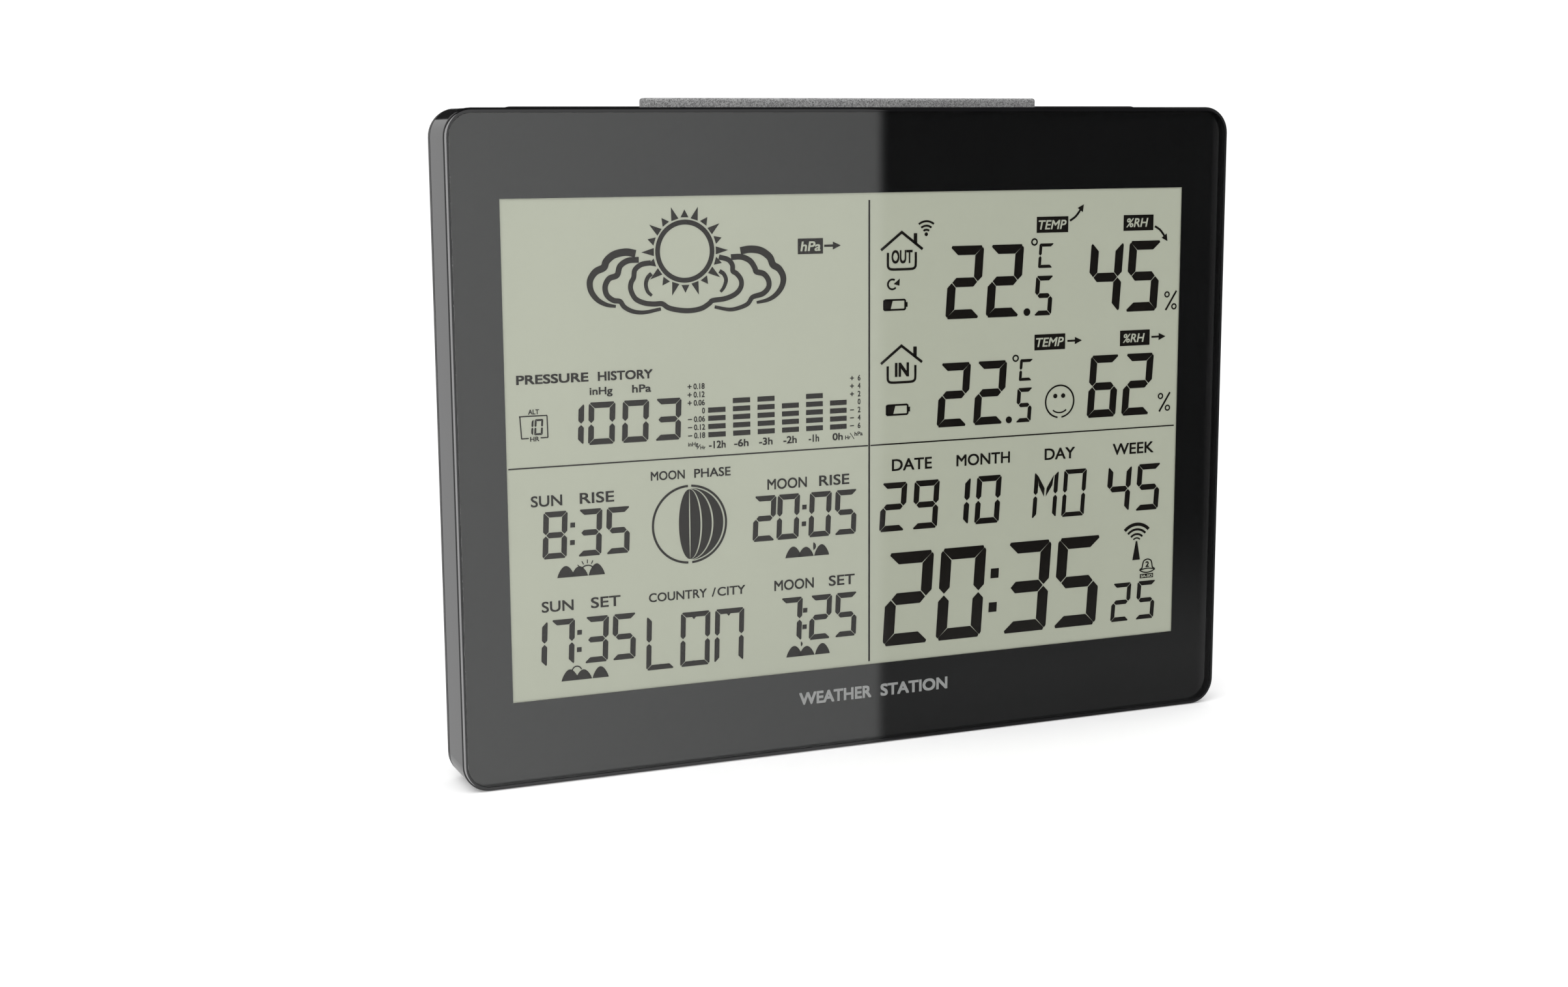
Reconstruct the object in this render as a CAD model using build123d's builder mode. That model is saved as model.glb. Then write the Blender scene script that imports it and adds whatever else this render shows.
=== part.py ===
from build123d import *
import os

# Home weather station: the table unit with its large display, glossy front, light bar on top,
# and a back that carries the keys, the sliding battery door, the wall hooks and a fold-out foot.
# X is to the right seen from the front, Y goes back, Z is up. The origin is the centre of the base.
# A depth is always measured back from the front face.

# ---- Case
case_width = 187.7
case_height = 143.6
corner_radius = 6.0
front_edge_radius = 0.8
wall = 2.0
seam_depth = 11.6  # where the front shell meets the rear shell
rim_depth = 15.0  # back of the flat rim round the rear shell
rim_edge_radius = 1.8
seam_groove = 0.4  # shadow line at the seam, its width and its depth
lap_depth = 1.4  # tongue of the rear shell inside the front shell
fit_gap = 0.1  # between pieces that are fixed together
run_gap = 0.3  # between pieces that move past each other

# ---- Display
window_rim = 0.95
window_thickness = 1.2
mask_gap = 0.05  # window back to the mask
mask_thickness = 0.15
ledge_thickness = 1.6
side_margin = 11.55  # case edge to the visible display
end_margin = 18.5
polarizer_thickness = 0.2
polarizer_border = 1.0  # glass plate that the film leaves bare
glass_plate = 1.1  # each of the two plates
glass_side_border = 3.5
contact_ledge = 4.0  # strip of the front plate that the rear plate leaves bare
light_guide_thickness = 3.6
guide_border = 2.0  # glass edge to guide edge
guide_corner = 1.0
tray_floor = 0.8
tray_side = 3.0
tray_end = 7.0
connector_strip_width = 2.2
connector_inset = 6.0  # guide edge to the strip's end
led_size = (2.0, 4.0, 2.6)  # across the guide's edge, along it, in depth

# ---- Main board
board_thickness = 1.2
board_side = 5.0  # tray edge to board edge
board_end = 1.0
board_screw_inset = (11.0, 3.5)  # tray edge to the board screws, across and up
board_boss_radius = 2.5
board_screw_radius = 1.1
board_screw_length = 5.4
board_screw_head = (2.2, 1.4)  # radius, height

# ---- Case screws
case_screw_inset = corner_radius
case_boss_radius = 3.5
case_boss_root_radius = 4.2
case_screw_radius = 1.25
case_screw_length = 8.0
case_screw_head = (2.5, 1.6)
case_screw_recess = 1.8

# ---- Battery compartment
cell_diameter = 14.2
cell_body_length = 49.2
cell_nub = (2.7, 1.0)  # radius, length
cell_gap = 1.0  # between two cells
cell_count = 3
contact_thickness = 0.3
contact_spring_length = 6.0
contact_inset = 2.0  # contact plate inside the cell's outline
spring_wire = 0.4  # radius
spring_radius = 3.2
spring_turns = 4
compartment_wall = 1.5
compartment_floor = 1.2
door_width = 62.0
door_thickness = 1.8
door_tongue = (1.2, 0.8)  # how far it runs into the groove, thickness
door_pad = 1.5  # wall behind the door's grooves
door_lip = 3.0  # how far the door reaches below the cells
grip_rise = 12.0  # door's lower end to the middle of its grip
grip_field = (24.0, 12.0, 3.0, 0.5)  # width, height, corner radius, depth
grip_ridge = (18.0, 1.0, 2.4)  # length, width, pitch
grip_ridge_count = 4

# ---- Rear bulge
bulge_inset = 15.0  # case side to bulge side, at the rim
bulge_taper = 3.0
bulge_rise = 0.4  # bulge top above the case top
bulge_radius = 3.0

# ---- Light bar on top
bar_length = 95.3
bar_width = 4.5
bar_proud = 2.1
bar_corner = 1.2
bar_edge = 0.6
bar_travel = 0.8
bar_flange = (1.2, 1.5)  # overlap past the slot, thickness
bar_plunger_radius = 1.1
bar_switch_spacing = 76.0
bar_switch = (6.0, 3.8, 4.2)  # across, in depth, up
bar_switch_tip = 1.4

# ---- Rear keys
key_count = 6
key_pitch = 15.0
key_size = (10.0, 5.6)
key_travel = 0.5
key_flange = 1.0
key_proud = 0.6  # key above the strip that it stands in
key_strip = (100.0, 11.0, 1.0)
key_stem_radius = 1.5
key_switch = (6.0, 3.5)  # side, height
key_switch_tip = (1.75, 1.0)  # radius, height

# ---- Fold-out foot
foot_width = 72.0
foot_length = 47.5  # from the base to the foot's free end, folded
foot_thickness = 5.2
foot_skin = 1.8
foot_end_radius = 0.8
foot_rib_count = 2
foot_pin = (1.3, 1.6)  # radius, length
foot_sunk = 0.1  # foot's face below the case's back, folded
recess_wall = 1.5
recess_side = 2.5
notch_size = (16.0, 5.0, 5.0)  # finger notch above the foot: across, up, in depth

# ---- Openings in the back
hook_spacing = 110.0
hook_drop = 31.6  # case top to the middle of the hooks' round holes
hook_radius = 4.0
hook_slot = (2.0, 7.0)  # half width of the slot, how far it runs up
vent_place = (-57.0, 30.0)
vent_slot = (14.0, 1.6)
vent_pitch = 3.4
vent_count = 6
sound_place = (64.0, 62.0)
sound_radius = 0.8
sound_pitch = 3.0
reset_radius = 1.0
reset_offset = 46.0

# ---- Parts on the main board
buzzer_size = (6.0, 6.5)  # radius, height
buzzer_hole = (1.0, 2.0)  # radius, depth
controller_size = (8.0, 1.5)
controller_drop = 20.7  # key row to the controller
capacitor_size = (2.5, 7.0)
capacitor_place = (22.0, 50.0)
capacitor_pitch = 8.0
crystal_size = (1.5, 8.0)
crystal_place = (-20.0, 48.0)
pressure_size = (5.0, 2.0)
pressure_port = 0.5
pressure_place = (-32.0, 50.0)
climate_size = (8.0, 10.0, 4.0)
climate_slots = (4, 2.0, 0.8)  # count, pitch, width and depth
radio_drop = 44.0  # case top to the middle of the radio module
radio_across = -57.0
radio_board = (26.0, 12.0, 1.0)
radio_lift = 3.0  # board to board
radio_can = (9.0, 8.0, 1.6)
radio_can_shift = -5.0
radio_pins = (4, 2.54, 1.5)  # count, pitch, distance from the module's lower edge
radio_pin_radius = 0.4
radio_wire = 0.5  # radius of the antenna wire
radio_wire_start = (-11.0, 3.0)  # from the module's middle, across and up
radio_wire_stand = 3.0  # module to wire
radio_wire_reach = (32.0, 26.0, 40.0)  # up, across and down again
radio_wire_bend = 2.0

# ---- Time signal antenna
rod_radius = 4.0
rod_length = 50.0
rod_place = (50.0, 33.0)  # centre of the upright rod
coil_wall = 1.2
coil_length = 22.0
clip_size = (3.0, 12.0)  # along the rod, across it
clip_inset = 5.0  # rod end to clip

# ---- Battery leads
lead_radius = 0.6
lead_tab = (3.0, 1.6)  # contact tab's width, how far it stands out of the compartment
lead_reach = 6.5  # tab to the stretch that runs to the board
lead_drop = 4.0
lead_bend = 1.8

# ---- Depths, front to back
mask_front = window_thickness + mask_gap
window_recess = mask_front + mask_thickness
ledge_back = window_recess + ledge_thickness
polarizer_front = window_recess + fit_gap
glass_front = polarizer_front + polarizer_thickness
glass_middle = glass_front + glass_plate
glass_back = glass_middle + glass_plate
guide_front = glass_back + fit_gap
guide_back = guide_front + light_guide_thickness
tray_back = guide_back + fit_gap + tray_floor
board_back = tray_back + board_thickness
compartment_front = board_back + 2 * fit_gap
compartment_bed = compartment_front + compartment_floor
cell_axis = compartment_bed + 2 * fit_gap + cell_diameter / 2
rail_depth = cell_axis + cell_diameter / 2 + 6 * fit_gap
door_front = rail_depth + fit_gap
case_depth = door_front + door_thickness
rear_wall_front = case_depth - wall
bar_depth = seam_depth  # the bar's slot is shared by the two shells

# ---- Widths and heights that follow
view_width = case_width - 2 * side_margin
view_height = case_height - 2 * end_margin
glass_width = view_width + 2 * glass_side_border
glass_height = view_height + 2 * contact_ledge
rear_plate_height = glass_height - contact_ledge
guide_width = glass_width - 2 * guide_border
guide_height = view_height
connector_length = guide_width - 2 * connector_inset
strip_offset = -(glass_height - contact_ledge) / 2
tray_width = glass_width + 2 * tray_side
tray_height = glass_height + 2 * tray_end
board_width = tray_width - 2 * board_side
board_height = tray_height - 2 * board_end
hook_height = case_height - hook_drop
radio_place = (radio_across, case_height - radio_drop)
board_screw_spacing = (tray_width - 2 * board_screw_inset[0], tray_height - 2 * board_screw_inset[1])
case_screw_spacing = (case_width - 2 * case_screw_inset, case_height - 2 * case_screw_inset)
bulge_top = case_height + bulge_rise
bulge_half = case_width / 2 - bulge_inset
bulge_front = rim_depth - run_gap - fit_gap

cell_length = cell_body_length + cell_nub[1]
cell_pitch = cell_diameter + cell_gap
compartment_length = cell_length + contact_spring_length + 3 * contact_thickness + fit_gap
compartment_height = cell_count * cell_pitch + 2 * fit_gap
bar_underside = case_height - wall - fit_gap - bar_flange[1]
compartment_top = bar_underside - bar_travel - 2 * run_gap - compartment_wall
compartment_bottom = compartment_top - compartment_height
compartment_middle = (compartment_top + compartment_bottom) / 2
door_bottom = compartment_bottom - door_lip

foot_radius = foot_thickness / 2
foot_axis_height = foot_radius + fit_gap
foot_axis_depth = case_depth - foot_sunk - foot_radius
recess_depth = foot_thickness + foot_sunk + run_gap
recess_width = foot_width + 2 * run_gap
recess_top = foot_length + 2 * run_gap
notch_top = recess_top + notch_size[1]
key_row = (notch_top + recess_wall + door_bottom - door_pad) / 2
key_face = case_depth - key_strip[2]
key_switch_face = board_back + key_switch[1] + key_switch_tip[1]


def y_at(depth):
    """Y of a plane that far behind the front face."""
    return depth - case_depth / 2


def face_plane(depth, height=None):
    """Plane parallel to the front face, that far behind it, centred on the case or at a given height.
    Its x is +X and its y is +Z, and it faces forward, so a negative extrusion goes back."""
    level = case_height / 2 if height is None else height
    return Plane(origin=(0, y_at(depth), level), x_dir=(1, 0, 0), z_dir=(0, -1, 0))


def finish(built, label):
    """Names a finished piece and writes it."""
    built.part.label = label
    export_step(built.part, f"parts/{label}.step")


os.makedirs("parts", exist_ok=True)

# ======================================================================= Outer forms
with BuildPart() as bulge_form:
    with BuildSketch(Plane.XY):
        with BuildLine():
            Polyline(
                (-bulge_half, y_at(bulge_front)),
                (bulge_half, y_at(bulge_front)),
                (bulge_half - bulge_taper, y_at(case_depth)),
                (-bulge_half + bulge_taper, y_at(case_depth)),
                close=True,
            )
        make_face()
    extrude(amount=bulge_top)
    soft_edges = bulge_form.edges().filter_by(
        lambda edge: edge.center().Z > 1 and edge.center().Y > y_at(bulge_front) + 1
    )
    fillet(soft_edges, bulge_radius)

with BuildPart() as rim_form:
    with BuildSketch(face_plane(seam_depth + seam_groove)):
        RectangleRounded(case_width, case_height, corner_radius)
    extrude(amount=-(rim_depth - seam_depth - seam_groove))
    fillet(rim_form.faces().sort_by(Axis.Y)[-1].edges(), rim_edge_radius)

with BuildPart() as bulge_hollow:
    with BuildSketch(Plane.XY.offset(wall)):
        with BuildLine():
            Polyline(
                (-bulge_half + wall, y_at(rim_depth - wall)),
                (bulge_half - wall, y_at(rim_depth - wall)),
                (bulge_half - bulge_taper - wall, y_at(rear_wall_front)),
                (-bulge_half + bulge_taper + wall, y_at(rear_wall_front)),
                close=True,
            )
        make_face()
    extrude(amount=bulge_top - 2 * wall)

# ======================================================================= Front shell
with BuildPart() as front_shell:
    with BuildSketch(face_plane(0)):
        RectangleRounded(case_width, case_height, corner_radius)
    extrude(amount=-seam_depth)
    fillet(front_shell.faces().sort_by(Axis.Y)[0].edges(), front_edge_radius)
    # Seat for the window, display opening, and the hollow behind them
    with BuildSketch(face_plane(0)):
        RectangleRounded(
            case_width - 2 * window_rim, case_height - 2 * window_rim, corner_radius - window_rim
        )
    extrude(amount=-window_recess, mode=Mode.SUBTRACT)
    with BuildSketch(face_plane(window_recess)):
        Rectangle(glass_width + 4 * fit_gap, glass_height + 4 * fit_gap)
    extrude(amount=-ledge_thickness, mode=Mode.SUBTRACT)
    with BuildSketch(face_plane(ledge_back)):
        RectangleRounded(case_width - 2 * wall, case_height - 2 * wall, corner_radius - wall)
    extrude(amount=-(seam_depth - ledge_back), mode=Mode.SUBTRACT)
    # Half lap for the rear shell's tongue
    with BuildSketch(face_plane(seam_depth - lap_depth - fit_gap)):
        RectangleRounded(case_width - wall, case_height - wall, corner_radius - wall / 2)
    extrude(amount=-(lap_depth + fit_gap), mode=Mode.SUBTRACT)
    # Bosses for the case screws, wider where they join the walls
    with BuildSketch(face_plane(ledge_back)):
        with GridLocations(*case_screw_spacing, 2, 2):
            Circle(case_boss_root_radius)
    extrude(amount=-(seam_depth - 2 * lap_depth - ledge_back))
    with BuildSketch(face_plane(ledge_back)):
        with GridLocations(*case_screw_spacing, 2, 2):
            Circle(case_boss_radius)
    extrude(amount=-(seam_depth - ledge_back))
    with BuildSketch(face_plane(seam_depth)):
        with GridLocations(*case_screw_spacing, 2, 2):
            Circle(case_screw_radius + fit_gap / 2)
    extrude(amount=case_screw_length - wall / 2, mode=Mode.SUBTRACT)
    # Bosses for the board screws
    with BuildSketch(face_plane(ledge_back)):
        with GridLocations(*board_screw_spacing, 2, 2):
            Circle(board_boss_radius)
            Circle(board_screw_radius + fit_gap / 2, mode=Mode.SUBTRACT)
    extrude(amount=-(tray_back - ledge_back))
    # Front half of the light bar's slot
    with BuildSketch(Plane.XY.offset(case_height - 2 * wall)):
        with Locations((0, y_at(bar_depth))):
            RectangleRounded(bar_length + 2 * run_gap, bar_width + 2 * run_gap, bar_corner + run_gap)
    extrude(amount=3 * wall, mode=Mode.SUBTRACT)
finish(front_shell, "front_shell")

# ======================================================================= Window and display
with BuildPart() as front_window:
    with BuildSketch(face_plane(0)):
        RectangleRounded(
            case_width - 2 * (window_rim + fit_gap),
            case_height - 2 * (window_rim + fit_gap),
            corner_radius - window_rim - fit_gap,
        )
    extrude(amount=-window_thickness)
    chamfer(front_window.faces().sort_by(Axis.Y)[0].edges(), fit_gap / 2)
finish(front_window, "front_window")

with BuildPart() as window_mask:
    with BuildSketch(face_plane(mask_front)):
        RectangleRounded(
            case_width - 2 * (window_rim + fit_gap),
            case_height - 2 * (window_rim + fit_gap),
            corner_radius - window_rim - fit_gap,
        )
        Rectangle(view_width, view_height, mode=Mode.SUBTRACT)
    extrude(amount=-mask_thickness)
finish(window_mask, "window_mask")

with BuildPart() as display_polarizer:
    with BuildSketch(face_plane(polarizer_front)):
        Rectangle(glass_width - 2 * polarizer_border, glass_height - 2 * polarizer_border)
    extrude(amount=-polarizer_thickness)
finish(display_polarizer, "display_polarizer")

with BuildPart() as display_glass:
    with BuildSketch(face_plane(glass_front)):
        Rectangle(glass_width, glass_height)
    extrude(amount=-glass_plate)
    with BuildSketch(face_plane(glass_middle)):
        with Locations((0, contact_ledge / 2)):
            Rectangle(glass_width, rear_plate_height)
    extrude(amount=-glass_plate)
finish(display_glass, "display_glass")

with BuildPart() as light_guide:
    with BuildSketch(face_plane(guide_front)):
        RectangleRounded(guide_width, guide_height, guide_corner)
    extrude(amount=-light_guide_thickness)
finish(light_guide, "light_guide")

led_across = -guide_width / 2 - led_size[0] / 2 - 2 * fit_gap
led_spacing = guide_height / 2

with BuildPart() as display_tray:
    with BuildSketch(face_plane(ledge_back)):
        RectangleRounded(tray_width, tray_height, 2)
        with GridLocations(*case_screw_spacing, 2, 2):
            Circle(case_boss_root_radius + run_gap, mode=Mode.SUBTRACT)
        with GridLocations(*board_screw_spacing, 2, 2):
            Circle(board_boss_radius + 2 * fit_gap, mode=Mode.SUBTRACT)
    extrude(amount=-(tray_back - ledge_back))
    with BuildSketch(face_plane(ledge_back)):
        Rectangle(glass_width + 4 * fit_gap, glass_height + 4 * fit_gap)
    extrude(amount=-(guide_front - ledge_back), mode=Mode.SUBTRACT)
    with BuildSketch(face_plane(guide_front)):
        Rectangle(guide_width + 4 * fit_gap, guide_height + 4 * fit_gap)
        with GridLocations(0, led_spacing, 1, 2):
            with Locations((led_across, 0)):
                Rectangle(led_size[0] + 4 * fit_gap, led_size[1] + 2 * fit_gap)
    extrude(amount=-(light_guide_thickness + fit_gap), mode=Mode.SUBTRACT)
    with BuildSketch(face_plane(guide_front)):
        with Locations((0, strip_offset)):
            Rectangle(connector_length + 2 * fit_gap, connector_strip_width + 2 * fit_gap)
    extrude(amount=-(tray_back - guide_front), mode=Mode.SUBTRACT)
finish(display_tray, "display_tray")

with BuildPart() as backlight_leds:
    with BuildSketch(face_plane(guide_front + 2 * fit_gap)):
        with GridLocations(0, led_spacing, 1, 2):
            with Locations((led_across, 0)):
                Rectangle(led_size[0], led_size[1])
    extrude(amount=-led_size[2])
finish(backlight_leds, "backlight_leds")

with BuildPart() as connector_strip:
    with BuildSketch(face_plane(glass_middle)):
        with Locations((0, strip_offset)):
            Rectangle(connector_length, connector_strip_width)
    extrude(amount=-(tray_back - glass_middle))
finish(connector_strip, "connector_strip")

# ======================================================================= Main board
with BuildPart() as main_board:
    with BuildSketch(face_plane(tray_back)):
        RectangleRounded(board_width, board_height, 1.5)
        with GridLocations(*board_screw_spacing, 2, 2):
            Circle(board_screw_radius + fit_gap, mode=Mode.SUBTRACT)
    extrude(amount=-board_thickness)
finish(main_board, "main_board")

with BuildPart() as controller_chip:
    with BuildSketch(face_plane(board_back, key_row - controller_drop)):
        Circle(controller_size[0])
    extrude(amount=-controller_size[1])
    fillet(controller_chip.faces().sort_by(Axis.Y)[-1].edges(), controller_size[1] * 0.9)
finish(controller_chip, "controller_chip")

with BuildPart() as capacitors:
    with BuildSketch(face_plane(board_back, capacitor_place[1])):
        with Locations((capacitor_place[0], 0)):
            with GridLocations(capacitor_pitch, 0, 2, 1):
                Circle(capacitor_size[0])
    extrude(amount=-capacitor_size[1])
    fillet(capacitors.faces().filter_by(Axis.Y).group_by(Axis.Y)[-1].edges(), 0.5)
finish(capacitors, "capacitors")

with BuildPart() as clock_crystal:
    crystal_plane = Plane(
        origin=(crystal_place[0], y_at(board_back + crystal_size[0]), crystal_place[1]),
        x_dir=(0, 1, 0),
        z_dir=(1, 0, 0),
    )
    with BuildSketch(crystal_plane):
        Circle(crystal_size[0])
    extrude(amount=crystal_size[1])
    fillet(clock_crystal.faces().filter_by(Axis.X).edges(), 0.3)
finish(clock_crystal, "clock_crystal")

with BuildPart() as pressure_sensor:
    with BuildSketch(face_plane(board_back, pressure_place[1])):
        with Locations((pressure_place[0], 0)):
            RectangleRounded(pressure_size[0], pressure_size[0], 0.5)
    extrude(amount=-pressure_size[1])
    with BuildSketch(face_plane(board_back + pressure_size[1], pressure_place[1])):
        with Locations((pressure_place[0], 0)):
            Circle(pressure_port)
    extrude(amount=pressure_size[1] / 2, mode=Mode.SUBTRACT)
finish(pressure_sensor, "pressure_sensor")

with BuildPart() as climate_sensor:
    with BuildSketch(face_plane(board_back, vent_place[1])):
        with Locations((vent_place[0], 0)):
            RectangleRounded(climate_size[0], climate_size[1], 0.6)
    extrude(amount=-climate_size[2])
    with BuildSketch(face_plane(board_back + climate_size[2], vent_place[1])):
        with Locations((vent_place[0], 0)):
            with GridLocations(0, climate_slots[1], 1, climate_slots[0]):
                Rectangle(climate_size[0] - 2, climate_slots[2])
    extrude(amount=climate_slots[2], mode=Mode.SUBTRACT)
finish(climate_sensor, "climate_sensor")

with BuildPart() as alarm_buzzer:
    with BuildSketch(face_plane(board_back, sound_place[1])):
        with Locations((sound_place[0], 0)):
            Circle(buzzer_size[0])
    extrude(amount=-buzzer_size[1])
    with BuildSketch(face_plane(board_back + buzzer_size[1], sound_place[1])):
        with Locations((sound_place[0], 0)):
            Circle(buzzer_hole[0])
    extrude(amount=buzzer_hole[1], mode=Mode.SUBTRACT)
finish(alarm_buzzer, "alarm_buzzer")

with BuildPart() as key_switches:
    with BuildSketch(face_plane(board_back, key_row)):
        with GridLocations(key_pitch, 0, key_count, 1):
            RectangleRounded(key_switch[0], key_switch[0], 0.4)
    extrude(amount=-key_switch[1])
    with BuildSketch(face_plane(board_back + key_switch[1], key_row)):
        with GridLocations(key_pitch, 0, key_count, 1):
            Circle(key_switch_tip[0])
    extrude(amount=-key_switch_tip[1])
finish(key_switches, "key_switches")

bar_switch_foot = case_height / 2 + board_height / 2 - bar_switch[2]
with BuildPart() as bar_switches:
    with BuildSketch(Plane.XY.offset(bar_switch_foot)):
        with Locations((0, y_at(board_back + bar_switch[1] / 2))):
            with GridLocations(bar_switch_spacing, 0, 2, 1):
                Rectangle(bar_switch[0], bar_switch[1])
    extrude(amount=bar_switch[2])
    with BuildSketch(Plane.XY.offset(bar_switch_foot + bar_switch[2])):
        with Locations((0, y_at(bar_depth))):
            with GridLocations(bar_switch_spacing, 0, 2, 1):
                Circle(bar_plunger_radius)
    extrude(amount=bar_switch_tip)
finish(bar_switches, "bar_switches")

# ======================================================================= Radio receiver
radio_back = board_back + radio_lift
with BuildPart() as radio_module:
    with BuildSketch(face_plane(radio_back, radio_place[1])):
        with Locations((radio_place[0], 0)):
            Rectangle(radio_board[0], radio_board[1])
    extrude(amount=-radio_board[2])
    with BuildSketch(face_plane(radio_back + radio_board[2], radio_place[1])):
        with Locations((radio_place[0] + radio_can_shift, 0)):
            RectangleRounded(radio_can[0], radio_can[1], 0.5)
    extrude(amount=-radio_can[2])
    with BuildSketch(face_plane(board_back, radio_place[1] - radio_board[1] / 2 + radio_pins[2])):
        with Locations((radio_place[0], 0)):
            with GridLocations(radio_pins[1], 0, radio_pins[0], 1):
                Circle(radio_pin_radius)
    extrude(amount=-radio_lift)
finish(radio_module, "radio_module")

wire_left = radio_place[0] + radio_wire_start[0]
wire_right = wire_left + radio_wire_reach[1]
wire_foot = radio_place[1] + radio_wire_start[1]
wire_top = wire_foot + radio_wire_reach[0]
module_back = y_at(radio_back + radio_board[2])
wire_y = module_back + radio_wire_stand
with BuildPart() as radio_antenna:
    with BuildLine() as antenna_path:
        FilletPolyline(
            (wire_left, module_back, wire_foot),
            (wire_left, wire_y, wire_foot),
            (wire_left, wire_y, wire_top),
            (wire_right, wire_y, wire_top),
            (wire_right, wire_y, wire_top - radio_wire_reach[2]),
            radius=radio_wire_bend,
        )
    antenna_line = antenna_path.wire()
    with BuildSketch(Plane(origin=antenna_line @ 0, z_dir=antenna_line % 0)):
        Circle(radio_wire)
    sweep(path=antenna_line)
finish(radio_antenna, "radio_antenna")

# ======================================================================= Time signal antenna
rod_depth = board_back + rod_radius + coil_wall + 4 * fit_gap


def rod_plane(height):
    """Plane across the antenna rod, at that height."""
    return Plane(origin=(rod_place[0], y_at(rod_depth), height), x_dir=(1, 0, 0), z_dir=(0, 0, 1))


with BuildPart() as ferrite_rod:
    with BuildSketch(rod_plane(rod_place[1] - rod_length / 2)):
        Circle(rod_radius)
    extrude(amount=rod_length)
    chamfer(ferrite_rod.faces().filter_by(Axis.Z).edges(), 0.4)
finish(ferrite_rod, "ferrite_rod")

with BuildPart() as antenna_coil:
    with BuildSketch(rod_plane(rod_place[1] - coil_length / 2)):
        Circle(rod_radius + coil_wall)
        Circle(rod_radius + fit_gap / 2, mode=Mode.SUBTRACT)
    extrude(amount=coil_length)
finish(antenna_coil, "antenna_coil")

# ======================================================================= Batteries and contacts
cell_rows = [
    compartment_bottom + fit_gap + cell_pitch * (row + 0.5) for row in range(cell_count)
]
contact_face = compartment_length / 2 - contact_thickness


def cell_plane(across, height, side):
    """Plane across a cell's axis, at that X, facing +X if side is 1 and -X if it is -1."""
    return Plane(
        origin=(across, y_at(cell_axis), height), x_dir=(0, 1, 0), z_dir=(side, 0, 0)
    )


for row, height in enumerate(cell_rows):
    # Cells alternate, and each one's nub faces the side given here: left, right, left
    side = -1 if row % 2 == 0 else 1
    nub_end = side * (contact_face - fit_gap)
    with BuildPart() as battery:
        with BuildSketch(cell_plane(nub_end, height, -side)):
            Circle(cell_nub[0])
        extrude(amount=cell_nub[1])
        with BuildSketch(cell_plane(nub_end - side * cell_nub[1], height, -side)):
            Circle(cell_diameter / 2)
        extrude(amount=cell_body_length)
        fillet(battery.faces().filter_by(Axis.X).edges().filter_by(
            lambda edge: edge.radius > cell_nub[0] + 1), 0.6)
    finish(battery, f"battery_{row + 1}")


def contact_side(row):
    """Side on which a row's positive nub is."""
    return -1 if row % 2 == 0 else 1


plate_side = cell_diameter - 2 * contact_inset
with BuildPart() as battery_contacts:
    for side in (-1, 1):
        # Rows joined by this wall's long plate, and the row with a plate and a lead of its own
        joined = (0, 1) if side < 0 else (1, 2)
        single = 2 if side < 0 else 0
        joined_middle = (cell_rows[joined[0]] + cell_rows[joined[1]]) / 2
        for middle, span in ((joined_middle, plate_side + cell_pitch), (cell_rows[single], plate_side)):
            with BuildSketch(cell_plane(side * compartment_length / 2, middle, -side)):
                Rectangle(plate_side, span)
            extrude(amount=contact_thickness)
        tab_reach = compartment_wall + lead_tab[1]
        with BuildSketch(cell_plane(side * compartment_length / 2, cell_rows[single], side)):
            Rectangle(contact_thickness, lead_tab[0])
        extrude(amount=tab_reach)
finish(battery_contacts, "battery_contacts")

with BuildPart() as battery_springs:
    for row, height in enumerate(cell_rows):
        side = -contact_side(row)
        base = side * (contact_face - spring_wire)
        rise = contact_spring_length - 2 * spring_wire - fit_gap
        with BuildLine() as spring_path:
            Helix(
                pitch=rise / spring_turns,
                height=rise,
                radius=spring_radius,
                center=(base, y_at(cell_axis), height),
                direction=(-side, 0, 0),
            )
        spring_line = spring_path.wire()
        with BuildSketch(Plane(origin=spring_line @ 0, z_dir=spring_line % 0)):
            Circle(spring_wire)
        sweep(path=spring_line, is_frenet=True)
finish(battery_springs, "battery_springs")

for side, single, name in ((-1, 2, "battery_lead_positive"), (1, 0, "battery_lead_negative")):
    start = side * (compartment_length / 2 + compartment_wall + lead_tab[1])
    height = cell_rows[single]
    with BuildPart() as battery_lead:
        with BuildLine() as lead_path:
            FilletPolyline(
                (start, y_at(cell_axis), height),
                (start + side * 0.6 * lead_reach, y_at(cell_axis - lead_radius), height - 0.1 * lead_drop),
                (start + side * lead_reach, y_at(cell_axis - 5 * lead_radius), height - lead_drop),
                (start + side * lead_reach, y_at(board_back), height - lead_drop),
                radius=lead_bend,
            )
        lead_line = lead_path.wire()
        with BuildSketch(Plane(origin=lead_line @ 0, z_dir=lead_line % 0)):
            Circle(lead_radius)
        sweep(path=lead_line)
    finish(battery_lead, name)

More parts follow.
